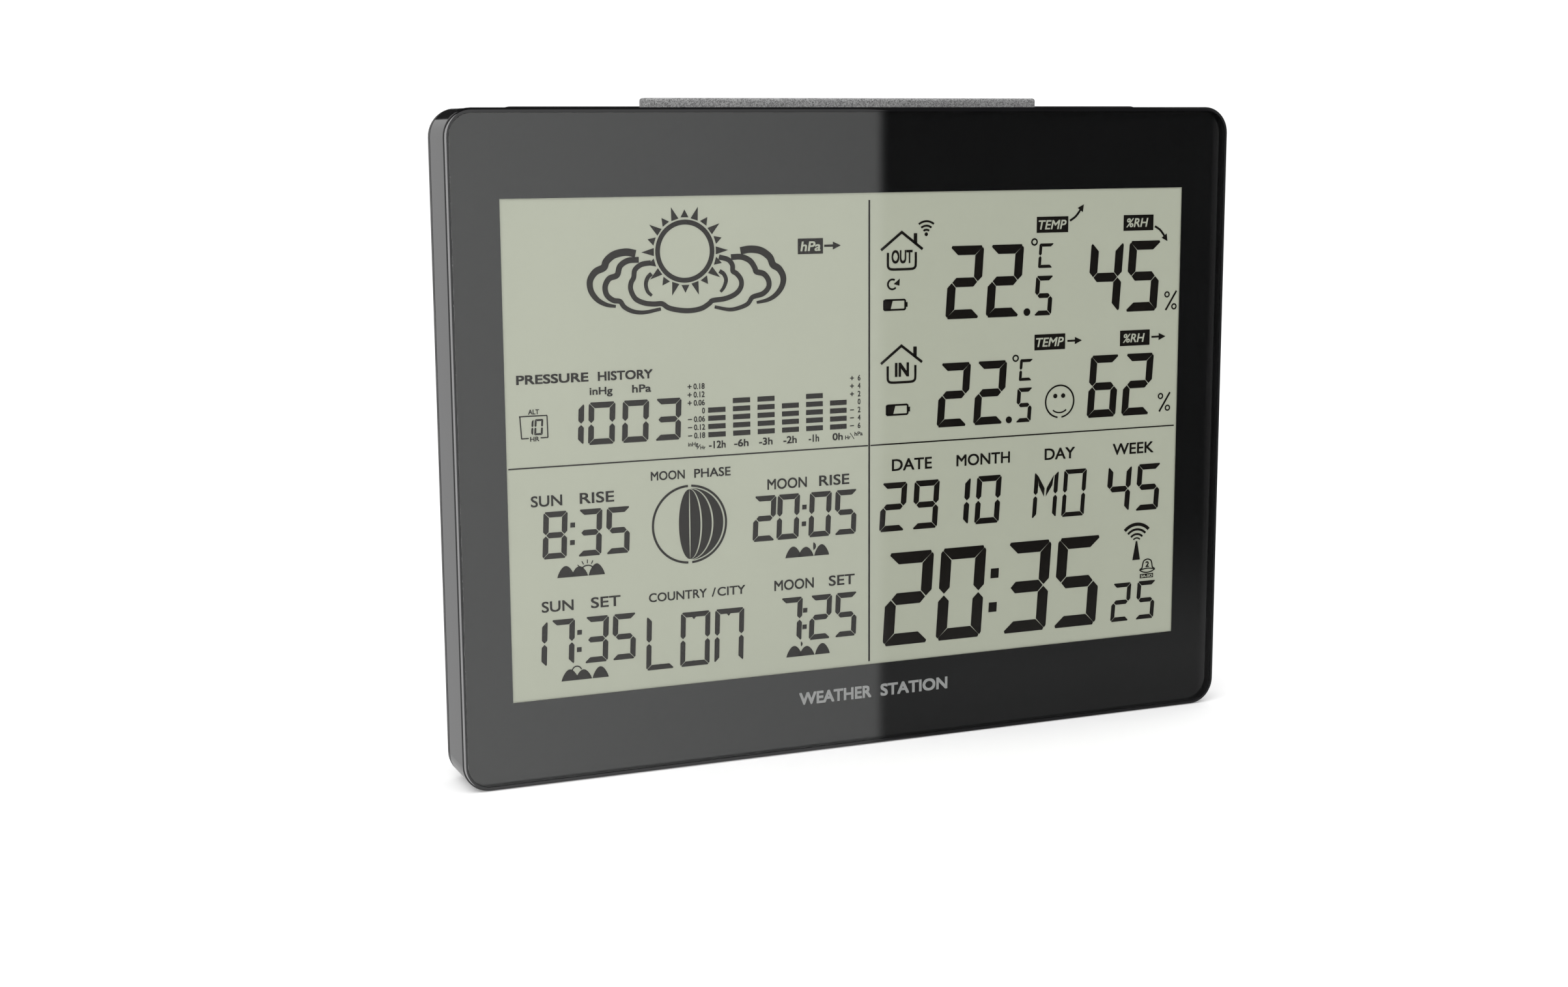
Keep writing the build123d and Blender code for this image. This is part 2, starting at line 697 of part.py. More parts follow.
# ======================================================================= Rear shell
with BuildPart() as rear_shell:
    add(rim_form.part)
    add(bulge_form.part)
    with BuildSketch(face_plane(seam_depth)):
        RectangleRounded(
            case_width - 2 * seam_groove, case_height - 2 * seam_groove, corner_radius - seam_groove
        )
    extrude(amount=-seam_groove)
    with BuildSketch(face_plane(seam_depth - lap_depth)):
        RectangleRounded(
            case_width - wall - 2 * fit_gap, case_height - wall - 2 * fit_gap, corner_radius - wall / 2
        )
    extrude(amount=-lap_depth)
    with BuildSketch(face_plane(seam_depth - lap_depth)):
        RectangleRounded(case_width - 2 * wall, case_height - 2 * wall, corner_radius - wall)
    extrude(amount=-(rim_depth - wall - seam_depth + lap_depth), mode=Mode.SUBTRACT)
    add(bulge_hollow.part, mode=Mode.SUBTRACT)

    # Battery compartment, with a thicker pad behind the door's grooves
    pad_width = door_width + 2 * (door_tongue[0] + door_pad)
    pad_top = bulge_top - wall / 2
    with BuildSketch(face_plane(rail_depth - door_pad, (door_bottom - door_pad + pad_top) / 2)):
        Rectangle(pad_width, pad_top - door_bottom + door_pad)
    extrude(amount=-(door_pad + fit_gap))
    with BuildSketch(face_plane(compartment_front, compartment_middle)):
        Rectangle(
            compartment_length + 2 * compartment_wall, compartment_height + 2 * compartment_wall
        )
    extrude(amount=-(rail_depth - compartment_front))
    with BuildSketch(face_plane(compartment_bed, compartment_middle)):
        Rectangle(compartment_length, compartment_height)
    extrude(amount=-(case_depth - compartment_bed), mode=Mode.SUBTRACT)
    # Low ribs between the cells
    for lower, upper in zip(cell_rows, cell_rows[1:]):
        with BuildSketch(face_plane(compartment_bed, (lower + upper) / 2)):
            Rectangle(cell_body_length * 0.6, cell_gap * 0.8)
        extrude(amount=-cell_diameter / 4)
    # Slots for the two lead tabs
    for side, single in ((-1, 2), (1, 0)):
        with BuildSketch(cell_plane(side * compartment_length / 2, cell_rows[single], side)):
            Rectangle(contact_thickness + 2 * fit_gap, lead_tab[0] + 2 * fit_gap)
        extrude(amount=compartment_wall, mode=Mode.SUBTRACT)
    # Door recess and its two grooves, open at the top
    door_run = bulge_top - door_bottom + 1
    with BuildSketch(face_plane(rail_depth, door_bottom - fit_gap)):
        with Locations((0, door_run / 2)):
            Rectangle(door_width + 2 * fit_gap, door_run)
    extrude(amount=-(case_depth - rail_depth + 1), mode=Mode.SUBTRACT)
    groove_bottom = door_bottom + wall - fit_gap
    with BuildSketch(face_plane(rail_depth, groove_bottom)):
        with Locations((0, door_run / 2)):
            Rectangle(door_width + 2 * (door_tongue[0] + 2 * fit_gap), door_run)
    extrude(amount=-(door_tongue[1] + 2 * fit_gap), mode=Mode.SUBTRACT)

    # Recess for the foot, with its walls, pin holes and finger notch
    with BuildSketch(face_plane(case_depth - recess_depth - recess_wall, 0)):
        with Locations((0, (recess_top + recess_wall) / 2)):
            Rectangle(recess_width + 2 * recess_side, recess_top + recess_wall)
    extrude(amount=-(recess_depth + recess_wall - wall / 2))
    with BuildSketch(face_plane(case_depth - notch_size[2] - recess_wall, recess_top)):
        with Locations((0, (notch_size[1] + recess_wall) / 2)):
            Rectangle(notch_size[0] + 2 * recess_wall, notch_size[1] + recess_wall)
    extrude(amount=-(notch_size[2] + recess_wall - wall / 2))
    with BuildSketch(face_plane(case_depth - recess_depth, 0)):
        with Locations((0, recess_top / 2 - 1)):
            Rectangle(recess_width, recess_top + 2)
    extrude(amount=-(recess_depth + 1), mode=Mode.SUBTRACT)
    with BuildSketch(face_plane(case_depth - notch_size[2], recess_top)):
        with Locations((0, notch_size[1] / 2 - 1)):
            RectangleRounded(notch_size[0], notch_size[1] + 2, 2)
    extrude(amount=-(notch_size[2] + 1), mode=Mode.SUBTRACT)
    pin_hole = Plane(
        origin=(-recess_width / 2 - foot_pin[1] - fit_gap, y_at(foot_axis_depth), foot_axis_height),
        x_dir=(0, 1, 0),
        z_dir=(1, 0, 0),
    )
    with BuildSketch(pin_hole):
        Circle(foot_pin[0] + fit_gap / 2)
    extrude(amount=recess_width + 2 * (foot_pin[1] + fit_gap), mode=Mode.SUBTRACT)

    # Key strip, key holes and reset hole
    with BuildSketch(face_plane(case_depth, key_row)):
        RectangleRounded(key_strip[0], key_strip[1], 2)
    extrude(amount=key_strip[2], mode=Mode.SUBTRACT)
    with BuildSketch(face_plane(case_depth, key_row)):
        with GridLocations(key_pitch, 0, key_count, 1):
            SlotOverall(key_size[0] + 2 * run_gap, key_size[1] + 2 * run_gap)
        with Locations((reset_offset, 0)):
            Circle(reset_radius)
    extrude(amount=wall + 1, mode=Mode.SUBTRACT)

    # Keyholes for wall screws, vents and sound holes
    with BuildSketch(face_plane(case_depth, hook_height)):
        with GridLocations(hook_spacing, 0, 2, 1):
            Circle(hook_radius)
            with Locations((0, hook_slot[1] / 2)):
                SlotCenterToCenter(hook_slot[1], 2 * hook_slot[0], rotation=90)
    extrude(amount=wall + 1, mode=Mode.SUBTRACT)
    with BuildSketch(face_plane(case_depth, vent_place[1])):
        with Locations((vent_place[0], 0)):
            with GridLocations(0, vent_pitch, 1, vent_count):
                SlotOverall(*vent_slot)
    extrude(amount=wall + 1, mode=Mode.SUBTRACT)
    with BuildSketch(face_plane(case_depth, sound_place[1])):
        with Locations((sound_place[0], 0)):
            Circle(sound_radius)
            with PolarLocations(sound_pitch, 6):
                Circle(sound_radius)
    extrude(amount=wall + 1, mode=Mode.SUBTRACT)

    # Clips for the antenna rod
    clip_reach = rear_wall_front - rod_depth + wall / 2
    clip_offset = rod_length / 2 - clip_inset
    for clip_height in (rod_place[1] - clip_offset, rod_place[1] + clip_offset):
        with BuildSketch(rod_plane(clip_height - clip_size[0] / 2)):
            with Locations((0, clip_reach / 2 - 1)):
                Rectangle(clip_size[1], clip_reach + 2)
            Circle(rod_radius + fit_gap / 2, mode=Mode.SUBTRACT)
            with Locations((0, -rod_radius)):
                Rectangle(1.6 * rod_radius, 2 * rod_radius, mode=Mode.SUBTRACT)
        extrude(amount=clip_size[0])

    # Pillars and counterbored holes for the case screws
    with BuildSketch(face_plane(seam_depth)):
        with GridLocations(*case_screw_spacing, 2, 2):
            Circle(case_boss_radius)
    extrude(amount=-(rim_depth - wall / 2 - seam_depth))
    with BuildSketch(face_plane(rim_depth)):
        with GridLocations(*case_screw_spacing, 2, 2):
            Circle(case_screw_head[0] + run_gap)
    extrude(amount=case_screw_recess, mode=Mode.SUBTRACT)
    with BuildSketch(face_plane(rim_depth)):
        with GridLocations(*case_screw_spacing, 2, 2):
            Circle(case_screw_radius + fit_gap)
    extrude(amount=rim_depth - seam_depth, mode=Mode.SUBTRACT)

    # Rear half of the light bar's slot
    with BuildSketch(Plane.XY.offset(case_height - 2 * wall)):
        with Locations((0, y_at(bar_depth))):
            RectangleRounded(bar_length + 2 * run_gap, bar_width + 2 * run_gap, bar_corner + run_gap)
    extrude(amount=3 * wall, mode=Mode.SUBTRACT)
finish(rear_shell, "rear_shell")

# ======================================================================= Battery door
with BuildPart() as battery_door:
    with BuildSketch(face_plane(door_front, door_bottom)):
        with Locations((0, (bulge_top - door_bottom) / 2)):
            Rectangle(door_width, bulge_top - door_bottom)
    extrude(amount=-door_thickness)
    with BuildSketch(face_plane(door_front, door_bottom + wall)):
        with Locations((0, (bulge_top - door_bottom - wall) / 2)):
            Rectangle(door_width + 2 * door_tongue[0], bulge_top - door_bottom - wall)
    extrude(amount=-door_tongue[1])
    add(bulge_form.part, mode=Mode.INTERSECT)
    # Grip: a shallow thumb field with ridges left standing in it
    with BuildSketch(face_plane(case_depth, door_bottom + grip_rise)):
        RectangleRounded(*grip_field[:3])
        with GridLocations(0, grip_ridge[2], 1, grip_ridge_count):
            Rectangle(grip_ridge[0], grip_ridge[1], mode=Mode.SUBTRACT)
    extrude(amount=grip_field[3], mode=Mode.SUBTRACT)
finish(battery_door, "battery_door")

# ======================================================================= Light bar
with BuildPart() as light_bar:
    with BuildSketch(Plane.XY.offset(bar_underside)):
        with Locations((0, y_at(bar_depth))):
            RectangleRounded(
                bar_length + 2 * bar_flange[0] + 2 * run_gap,
                bar_width + 2 * bar_flange[0] + 2 * run_gap,
                bar_corner,
            )
    extrude(amount=bar_flange[1])
    with BuildSketch(Plane.XY.offset(bar_underside)):
        with Locations((0, y_at(bar_depth))):
            RectangleRounded(bar_length, bar_width, bar_corner)
    extrude(amount=case_height + bar_proud - bar_underside)
    fillet(light_bar.faces().sort_by(Axis.Z)[-1].edges(), bar_edge)
    plunger_foot = bar_switch_foot + bar_switch[2] + bar_switch_tip + bar_travel + fit_gap
    with BuildSketch(Plane.XY.offset(plunger_foot)):
        with Locations((0, y_at(bar_depth))):
            with GridLocations(bar_switch_spacing, 0, 2, 1):
                Circle(bar_plunger_radius)
    extrude(amount=bar_underside - plunger_foot)
finish(light_bar, "light_bar")

# ======================================================================= Rear keys
key_names = ("mode", "alarm", "up", "down", "memory", "channel")
key_top = key_face + key_proud
flange_back = rear_wall_front - fit_gap
stem_end = key_switch_face + key_travel + fit_gap / 2
for number, name in enumerate(key_names):
    across = key_pitch * ((key_count - 1) / 2 - number)
    with BuildPart() as key:
        with BuildSketch(face_plane(flange_back - key_flange, key_row)):
            with Locations((across, 0)):
                SlotOverall(key_size[0] + 2 * key_flange, key_size[1] + 2 * key_flange)
        extrude(amount=-key_flange)
        with BuildSketch(face_plane(flange_back - key_flange, key_row)):
            with Locations((across, 0)):
                SlotOverall(*key_size)
        extrude(amount=-(key_top - flange_back + key_flange))
        fillet(key.faces().sort_by(Axis.Y)[-1].edges(), 0.4)
        with BuildSketch(face_plane(stem_end, key_row)):
            with Locations((across, 0)):
                Circle(key_stem_radius)
        extrude(amount=-(flange_back - key_flange - stem_end))
    finish(key, f"key_{name}")

# ======================================================================= Fold-out foot
with BuildPart() as fold_out_foot:
    foot_section = Plane(
        origin=(-foot_width / 2, y_at(foot_axis_depth), foot_axis_height),
        x_dir=(0, 1, 0),
        z_dir=(1, 0, 0),
    )
    foot_reach = foot_length - foot_axis_height
    with BuildSketch(foot_section):
        Circle(foot_radius)
        with Locations((0, foot_reach / 2)):
            Rectangle(foot_thickness, foot_reach)
    extrude(amount=foot_width)
    far_edges = fold_out_foot.edges().filter_by(
        lambda edge: edge.center().Z > foot_length - 0.1
    )
    fillet(far_edges, foot_end_radius)
    # Hollow on the inner side, with ribs left in it
    pocket_depth = foot_thickness - foot_skin
    pocket_bottom = foot_axis_height + foot_radius + 1
    pocket_top = foot_length - 2 * foot_skin
    pocket_middle = (pocket_bottom + pocket_top) / 2
    with BuildSketch(face_plane(case_depth - foot_sunk - foot_thickness, pocket_middle)):
        Rectangle(foot_width - 2 * foot_skin, pocket_top - pocket_bottom)
        with GridLocations(foot_width / (foot_rib_count + 1), 0, foot_rib_count, 1):
            Rectangle(foot_skin, pocket_top - pocket_bottom, mode=Mode.SUBTRACT)
    extrude(amount=-pocket_depth, mode=Mode.SUBTRACT)
    pin_start = Plane(
        origin=(-foot_width / 2 - run_gap - foot_pin[1], y_at(foot_axis_depth), foot_axis_height),
        x_dir=(0, 1, 0),
        z_dir=(1, 0, 0),
    )
    pin_reach = foot_pin[1] + run_gap + foot_skin
    for start in (0, foot_width + 2 * (run_gap + foot_pin[1]) - pin_reach):
        with BuildSketch(pin_start.offset(start)):
            Circle(foot_pin[0])
        extrude(amount=pin_reach)
finish(fold_out_foot, "fold_out_foot")


# ======================================================================= Screws
screw_sets = (
    # name, depth of the head's seat, spacing, shank radius, shank length, head
    ("case_screws", rim_depth - case_screw_recess, case_screw_spacing,
     case_screw_radius, case_screw_length, case_screw_head),
    ("board_screws", board_back, board_screw_spacing,
     board_screw_radius, board_screw_length, board_screw_head),
)
for name, seat, spacing, shank, length, (head_radius, head_height) in screw_sets:
    with BuildPart() as screws:
        with BuildSketch(face_plane(seat)):
            with GridLocations(*spacing, 2, 2):
                Circle(head_radius)
        extrude(amount=-head_height)
        fillet(screws.faces().filter_by(Axis.Y).group_by(Axis.Y)[-1].edges(), 0.5)
        with BuildSketch(face_plane(seat)):
            with GridLocations(*spacing, 2, 2):
                Circle(shank)
        extrude(amount=length)
        # Cross recess in the heads
        with BuildSketch(face_plane(seat + head_height)):
            with GridLocations(*spacing, 2, 2):
                Rectangle(1.3 * head_radius, 0.3 * head_radius)
                Rectangle(0.3 * head_radius, 1.3 * head_radius)
        extrude(amount=0.6 * head_height, mode=Mode.SUBTRACT)
    finish(screws, name)
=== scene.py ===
import math

import bmesh
import bpy
from mathutils import Matrix, Vector


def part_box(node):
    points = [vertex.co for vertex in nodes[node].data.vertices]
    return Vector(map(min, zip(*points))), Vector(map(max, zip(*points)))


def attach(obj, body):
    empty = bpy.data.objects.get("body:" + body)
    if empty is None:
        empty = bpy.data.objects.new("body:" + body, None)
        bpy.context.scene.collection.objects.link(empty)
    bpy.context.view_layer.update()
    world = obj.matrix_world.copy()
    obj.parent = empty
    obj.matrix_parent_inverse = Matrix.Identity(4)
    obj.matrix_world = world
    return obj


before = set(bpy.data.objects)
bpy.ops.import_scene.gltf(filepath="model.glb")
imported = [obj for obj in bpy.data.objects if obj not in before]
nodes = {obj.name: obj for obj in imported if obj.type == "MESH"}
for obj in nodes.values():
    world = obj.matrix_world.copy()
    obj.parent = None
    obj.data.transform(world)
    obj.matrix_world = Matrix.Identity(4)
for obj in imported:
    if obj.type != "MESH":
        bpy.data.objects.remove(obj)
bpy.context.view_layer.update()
scene = bpy.context.scene
scene.view_settings.view_transform = "Standard"

MM = 0.001
FACE_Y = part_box("front_window")[0].y
MASK_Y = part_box("window_mask")[0].y
film_lo, film_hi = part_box("display_polarizer")


# ---------------------------------------------------------------- camera
LENS = 49.07  # mm, on a sensor 36 mm wide
CAMERA_RIGHT = (0.9221, -0.38677, -0.00606)
CAMERA_BACK = (-0.3806, -0.90997, 0.16433)
CAMERA_PLACE = (-0.1995, -0.4294, 0.13724)  # its depth is measured from the front face


def place_camera():
    data = bpy.data.cameras.new("camera")
    data.sensor_fit = "HORIZONTAL"
    data.sensor_width = 36.0
    data.lens = LENS
    data.clip_start = 0.01
    data.clip_end = 20
    camera = bpy.data.objects.new("camera", data)
    scene.collection.objects.link(camera)
    right = Vector(CAMERA_RIGHT).normalized()
    back = Vector(CAMERA_BACK).normalized()
    up = back.cross(right).normalized()
    right = up.cross(back)
    place = Vector(CAMERA_PLACE) + Vector((0, FACE_Y, 0))
    camera.matrix_world = Matrix(
        (
            (right.x, up.x, back.x, place.x),
            (right.y, up.y, back.y, place.y),
            (right.z, up.z, back.z, place.z),
            (0, 0, 0, 1),
        )
    )
    scene.camera = camera


# ---------------------------------------------------------------- materials
RAMP_LOW, RAMP_HIGH = 0.3, 0.7  # where most of the noise lies
FLAKE_SCALE = 5200  # metallic flakes of about 0.2 mm
PLASTIC_IOR = 1.49
COAT_ROUGHNESS = 0.05
TINT_VARY = 0.005
SHEET_ROUGHNESS = (0.01, 0.035)
FRESNEL_POWER = 5  # Schlick's exponent


def noise_at(tree, coords, scale, detail):
    noise = tree.nodes.new("ShaderNodeTexNoise")
    noise.inputs["Scale"].default_value = scale
    noise.inputs["Detail"].default_value = detail
    tree.links.new(coords.outputs["Object"], noise.inputs["Vector"])
    return noise.outputs["Fac"]


def material(name, color, roughness, metallic=0.0, coat=0.0, specular=0.5, vary=0.08, vary_scale=60.0,
             rough_vary=0.04, bump=0.0, bump_scale=2000.0, bump_distance=0.00002, sparkle=0.0):
    """Principled material whose colour, roughness and relief come from noise in object space."""
    m = bpy.data.materials.new(name)
    m.use_nodes = True
    tree = m.node_tree
    b = tree.nodes["Principled BSDF"]
    b.inputs["Metallic"].default_value = metallic
    b.inputs["IOR"].default_value = PLASTIC_IOR
    b.inputs["Coat Weight"].default_value = coat
    b.inputs["Coat Roughness"].default_value = COAT_ROUGHNESS
    b.inputs["Specular IOR Level"].default_value = specular
    coords = tree.nodes.new("ShaderNodeTexCoord")
    ramp = tree.nodes.new("ShaderNodeValToRGB")
    ramp.color_ramp.elements[0].position = RAMP_LOW
    ramp.color_ramp.elements[1].position = RAMP_HIGH
    ramp.color_ramp.elements[0].color = [c * (1 - vary) for c in color] + [1]
    ramp.color_ramp.elements[1].color = [min(1, c * (1 + vary)) for c in color] + [1]
    tree.links.new(noise_at(tree, coords, vary_scale, 6), ramp.inputs["Fac"])
    base = ramp.outputs["Color"]
    if sparkle:
        flakes = tree.nodes.new("ShaderNodeTexVoronoi")
        flakes.inputs["Scale"].default_value = FLAKE_SCALE
        tree.links.new(coords.outputs["Object"], flakes.inputs["Vector"])
        split = tree.nodes.new("ShaderNodeSeparateColor")
        tree.links.new(flakes.outputs["Color"], split.inputs["Color"])
        mix = tree.nodes.new("ShaderNodeMix")
        mix.data_type = "RGBA"
        mix.blend_type = "OVERLAY"
        mix.inputs["Factor"].default_value = sparkle
        tree.links.new(base, mix.inputs[6])
        gray = tree.nodes.new("ShaderNodeCombineColor")
        for s in ("Red", "Green", "Blue"):
            tree.links.new(split.outputs["Red"], gray.inputs[s])
        tree.links.new(gray.outputs["Color"], mix.inputs[7])
        base = mix.outputs[2]
    tree.links.new(base, b.inputs["Base Color"])
    spread = tree.nodes.new("ShaderNodeMapRange")
    spread.inputs["From Min"].default_value = RAMP_LOW
    spread.inputs["From Max"].default_value = RAMP_HIGH
    spread.inputs["To Min"].default_value = max(0.0, roughness - rough_vary)
    spread.inputs["To Max"].default_value = roughness + rough_vary
    tree.links.new(noise_at(tree, coords, vary_scale * 7, 4), spread.inputs["Value"])
    tree.links.new(spread.outputs["Result"], b.inputs["Roughness"])
    if bump:
        relief = tree.nodes.new("ShaderNodeBump")
        relief.inputs["Strength"].default_value = bump
        relief.inputs["Distance"].default_value = bump_distance
        tree.links.new(noise_at(tree, coords, bump_scale, 3), relief.inputs["Height"])
        tree.links.new(relief.outputs["Normal"], b.inputs["Normal"])
    return m


def clear_sheet(name, tint, reflectance):
    """Clear polished sheet: see-through, with a reflection that grows towards grazing angles."""
    m = bpy.data.materials.new(name)
    m.use_nodes = True
    tree = m.node_tree
    tree.nodes.remove(tree.nodes["Principled BSDF"])
    cloud = noise_at(tree, tree.nodes.new("ShaderNodeTexCoord"), 30, 4)
    ramp = tree.nodes.new("ShaderNodeValToRGB")
    ramp.color_ramp.elements[0].color = [c * (1 - TINT_VARY) for c in tint] + [1]
    ramp.color_ramp.elements[1].color = [c * (1 + TINT_VARY) for c in tint] + [1]
    tree.links.new(cloud, ramp.inputs["Fac"])
    clear = tree.nodes.new("ShaderNodeBsdfTransparent")
    tree.links.new(ramp.outputs["Color"], clear.inputs["Color"])
    gloss = tree.nodes.new("ShaderNodeBsdfGlossy")
    gloss.inputs["Color"].default_value = (1, 1, 1, 1)
    spread = tree.nodes.new("ShaderNodeMapRange")
    spread.inputs["To Min"].default_value = SHEET_ROUGHNESS[0]
    spread.inputs["To Max"].default_value = SHEET_ROUGHNESS[1]
    tree.links.new(cloud, spread.inputs["Value"])
    tree.links.new(spread.outputs["Result"], gloss.inputs["Roughness"])
    facing = tree.nodes.new("ShaderNodeLayerWeight")
    facing.inputs["Blend"].default_value = 0.5
    power = tree.nodes.new("ShaderNodeMath")
    power.operation = "POWER"
    power.inputs[1].default_value = FRESNEL_POWER
    tree.links.new(facing.outputs["Facing"], power.inputs[0])
    share = tree.nodes.new("ShaderNodeMapRange")
    share.inputs["To Min"].default_value = reflectance
    share.inputs["To Max"].default_value = 1.0
    tree.links.new(power.outputs["Value"], share.inputs["Value"])
    mix = tree.nodes.new("ShaderNodeMixShader")
    tree.links.new(share.outputs["Result"], mix.inputs["Fac"])
    tree.links.new(clear.outputs["BSDF"], mix.inputs[1])
    tree.links.new(gloss.outputs["BSDF"], mix.inputs[2])
    tree.links.new(mix.outputs["Shader"], tree.nodes["Material Output"].inputs["Surface"])
    return m


def cover(slot_material, *names):
    for name in names:
        piece = nodes[name]
        piece.data.materials.clear()
        piece.data.materials.append(slot_material)


gloss_black = material("gloss_black", (0.006, 0.006, 0.0065), 0.09, vary=0.15, rough_vary=0.02,
                       bump=0.25, bump_scale=500, bump_distance=0.00001)
rear_black = material("rear_black", (0.012, 0.012, 0.0125), 0.42, vary=0.12, rough_vary=0.06,
                      bump=0.6, bump_scale=2600, bump_distance=0.00004)
window_clear = clear_sheet("window_clear", (0.975, 0.98, 0.975), 0.017)
mask_black = material("mask_black", (0.0035, 0.0035, 0.0038), 0.06, vary=0.1, rough_vary=0.015)
film_grey = material("display_film", (0.416, 0.428, 0.351), 0.38, vary=0.012, vary_scale=25, rough_vary=0.03,
                     bump=0.1, bump_scale=3000, bump_distance=0.00001, specular=0.2)
segment_dark = material("segment_dark", (0.008, 0.006, 0.0045), 0.45, vary=0.1, specular=0.15)
print_grey = material("print_grey", (0.30, 0.30, 0.30), 0.5, vary=0.04, specular=0.2)
legend_white = material("legend_white", (0.62, 0.62, 0.62), 0.5, vary=0.04)
bar_silver = material("bar_silver", (0.295, 0.295, 0.295), 0.45, metallic=0.1, specular=0.3, vary=0.06,
                      rough_vary=0.08, bump=0.5, bump_scale=4000, bump_distance=0.00003, sparkle=0.55)
key_black = material("key_black", (0.02, 0.02, 0.021), 0.36, vary=0.1, rough_vary=0.05,
                     bump=0.4, bump_scale=3200)
screw_dark = material("screw_dark", (0.19, 0.19, 0.195), 0.32, metallic=1.0, vary=0.2, rough_vary=0.08)
clear_guide = material("clear_guide", (0.85, 0.86, 0.82), 0.2, vary=0.02)
plate_glass = material("plate_glass", (0.70, 0.74, 0.66), 0.12, vary=0.02)
white_plastic = material("white_plastic", (0.75, 0.75, 0.73), 0.45, vary=0.03, bump=0.3)
lamp_yellow = material("lamp_yellow", (0.85, 0.78, 0.42), 0.25, vary=0.04)
contact_rubber = material("contact_rubber", (0.03, 0.03, 0.032), 0.7, vary=0.2)
board_green = material("board_green", (0.012, 0.11, 0.035), 0.3, vary=0.18, vary_scale=220,
                       bump=0.3, bump_scale=900)
potting_black = material("potting_black", (0.008, 0.008, 0.008), 0.2, vary=0.2)
sleeve_blue = material("sleeve_blue", (0.015, 0.03, 0.13), 0.25, vary=0.1)
tinned = material("tinned", (0.6, 0.6, 0.58), 0.25, metallic=1.0, vary=0.06, rough_vary=0.1)
part_black = material("part_black", (0.015, 0.015, 0.016), 0.4, vary=0.1, bump=0.3)
wire_red = material("wire_red", (0.35, 0.012, 0.01), 0.35, vary=0.06)
wire_black = material("wire_black", (0.01, 0.01, 0.01), 0.35, vary=0.06)
ferrite = material("ferrite", (0.03, 0.03, 0.032), 0.6, vary=0.25, vary_scale=600, bump=0.6)
copper = material("copper", (0.75, 0.30, 0.12), 0.28, metallic=1.0, vary=0.12, vary_scale=900,
                  bump=0.5, bump_scale=1500)
cell_jacket = material("cell_jacket", (0.03, 0.08, 0.17), 0.22, vary=0.08, coat=0.6)

cover(gloss_black, "front_shell")
cover(window_clear, "front_window")
cover(mask_black, "window_mask")
cover(film_grey, "display_polarizer")
cover(plate_glass, "display_glass")
cover(clear_guide, "light_guide")
cover(white_plastic, "display_tray", "climate_sensor")
cover(lamp_yellow, "backlight_leds")
cover(contact_rubber, "connector_strip")
cover(board_green, "main_board", "radio_module")
cover(potting_black, "controller_chip")
cover(sleeve_blue, "capacitors")
cover(tinned, "clock_crystal", "pressure_sensor", "battery_contacts", "battery_springs")
cover(part_black, "alarm_buzzer", "key_switches", "bar_switches")
cover(wire_red, "radio_antenna", "battery_lead_positive")
cover(wire_black, "battery_lead_negative")
cover(ferrite, "ferrite_rod")
cover(copper, "antenna_coil")
cover(cell_jacket, "battery_1", "battery_2", "battery_3")
cover(rear_black, "rear_shell", "battery_door", "fold_out_foot")
cover(bar_silver, "light_bar")
cover(key_black, "key_mode", "key_alarm", "key_up", "key_down", "key_memory", "key_channel")
cover(screw_dark, "case_screws", "board_screws")


# ---------------------------------------------------------------- display print
# Everything on the display is drawn on a grid of 165 by 107 units, a hair under a millimetre each, from the
# top left corner of the opening in the mask, x to the right and y down. It becomes thin closed solids just
# in front of the film.
GRID_W, GRID_H = 165.0, 107.0
HIDDEN_SIDE, HIDDEN_END = 2.5 * MM, 3.0 * MM  # how far the mask covers the film
VIEW_LEFT, VIEW_RIGHT = film_lo.x + HIDDEN_SIDE, film_hi.x - HIDDEN_SIDE
VIEW_TOP, VIEW_BOTTOM = film_hi.z - HIDDEN_END, film_lo.z + HIDDEN_END
STEP_X = (VIEW_RIGHT - VIEW_LEFT) / GRID_W
STEP_Y = (VIEW_TOP - VIEW_BOTTOM) / GRID_H
INK_FRONT = film_lo.y - 0.00006
INK_BACK = film_lo.y - 0.00002
PALE_FRONT = film_lo.y - 0.00009
LAYER = 0.03  # share of the print's thickness between two copies of a letter
CURVE_STEPS = 5  # pieces between two points of a stroke
DOT_STEPS = 24


def to_row(x, y, depth):
    return Vector((VIEW_LEFT + x * STEP_X, depth, VIEW_TOP - y * STEP_Y))


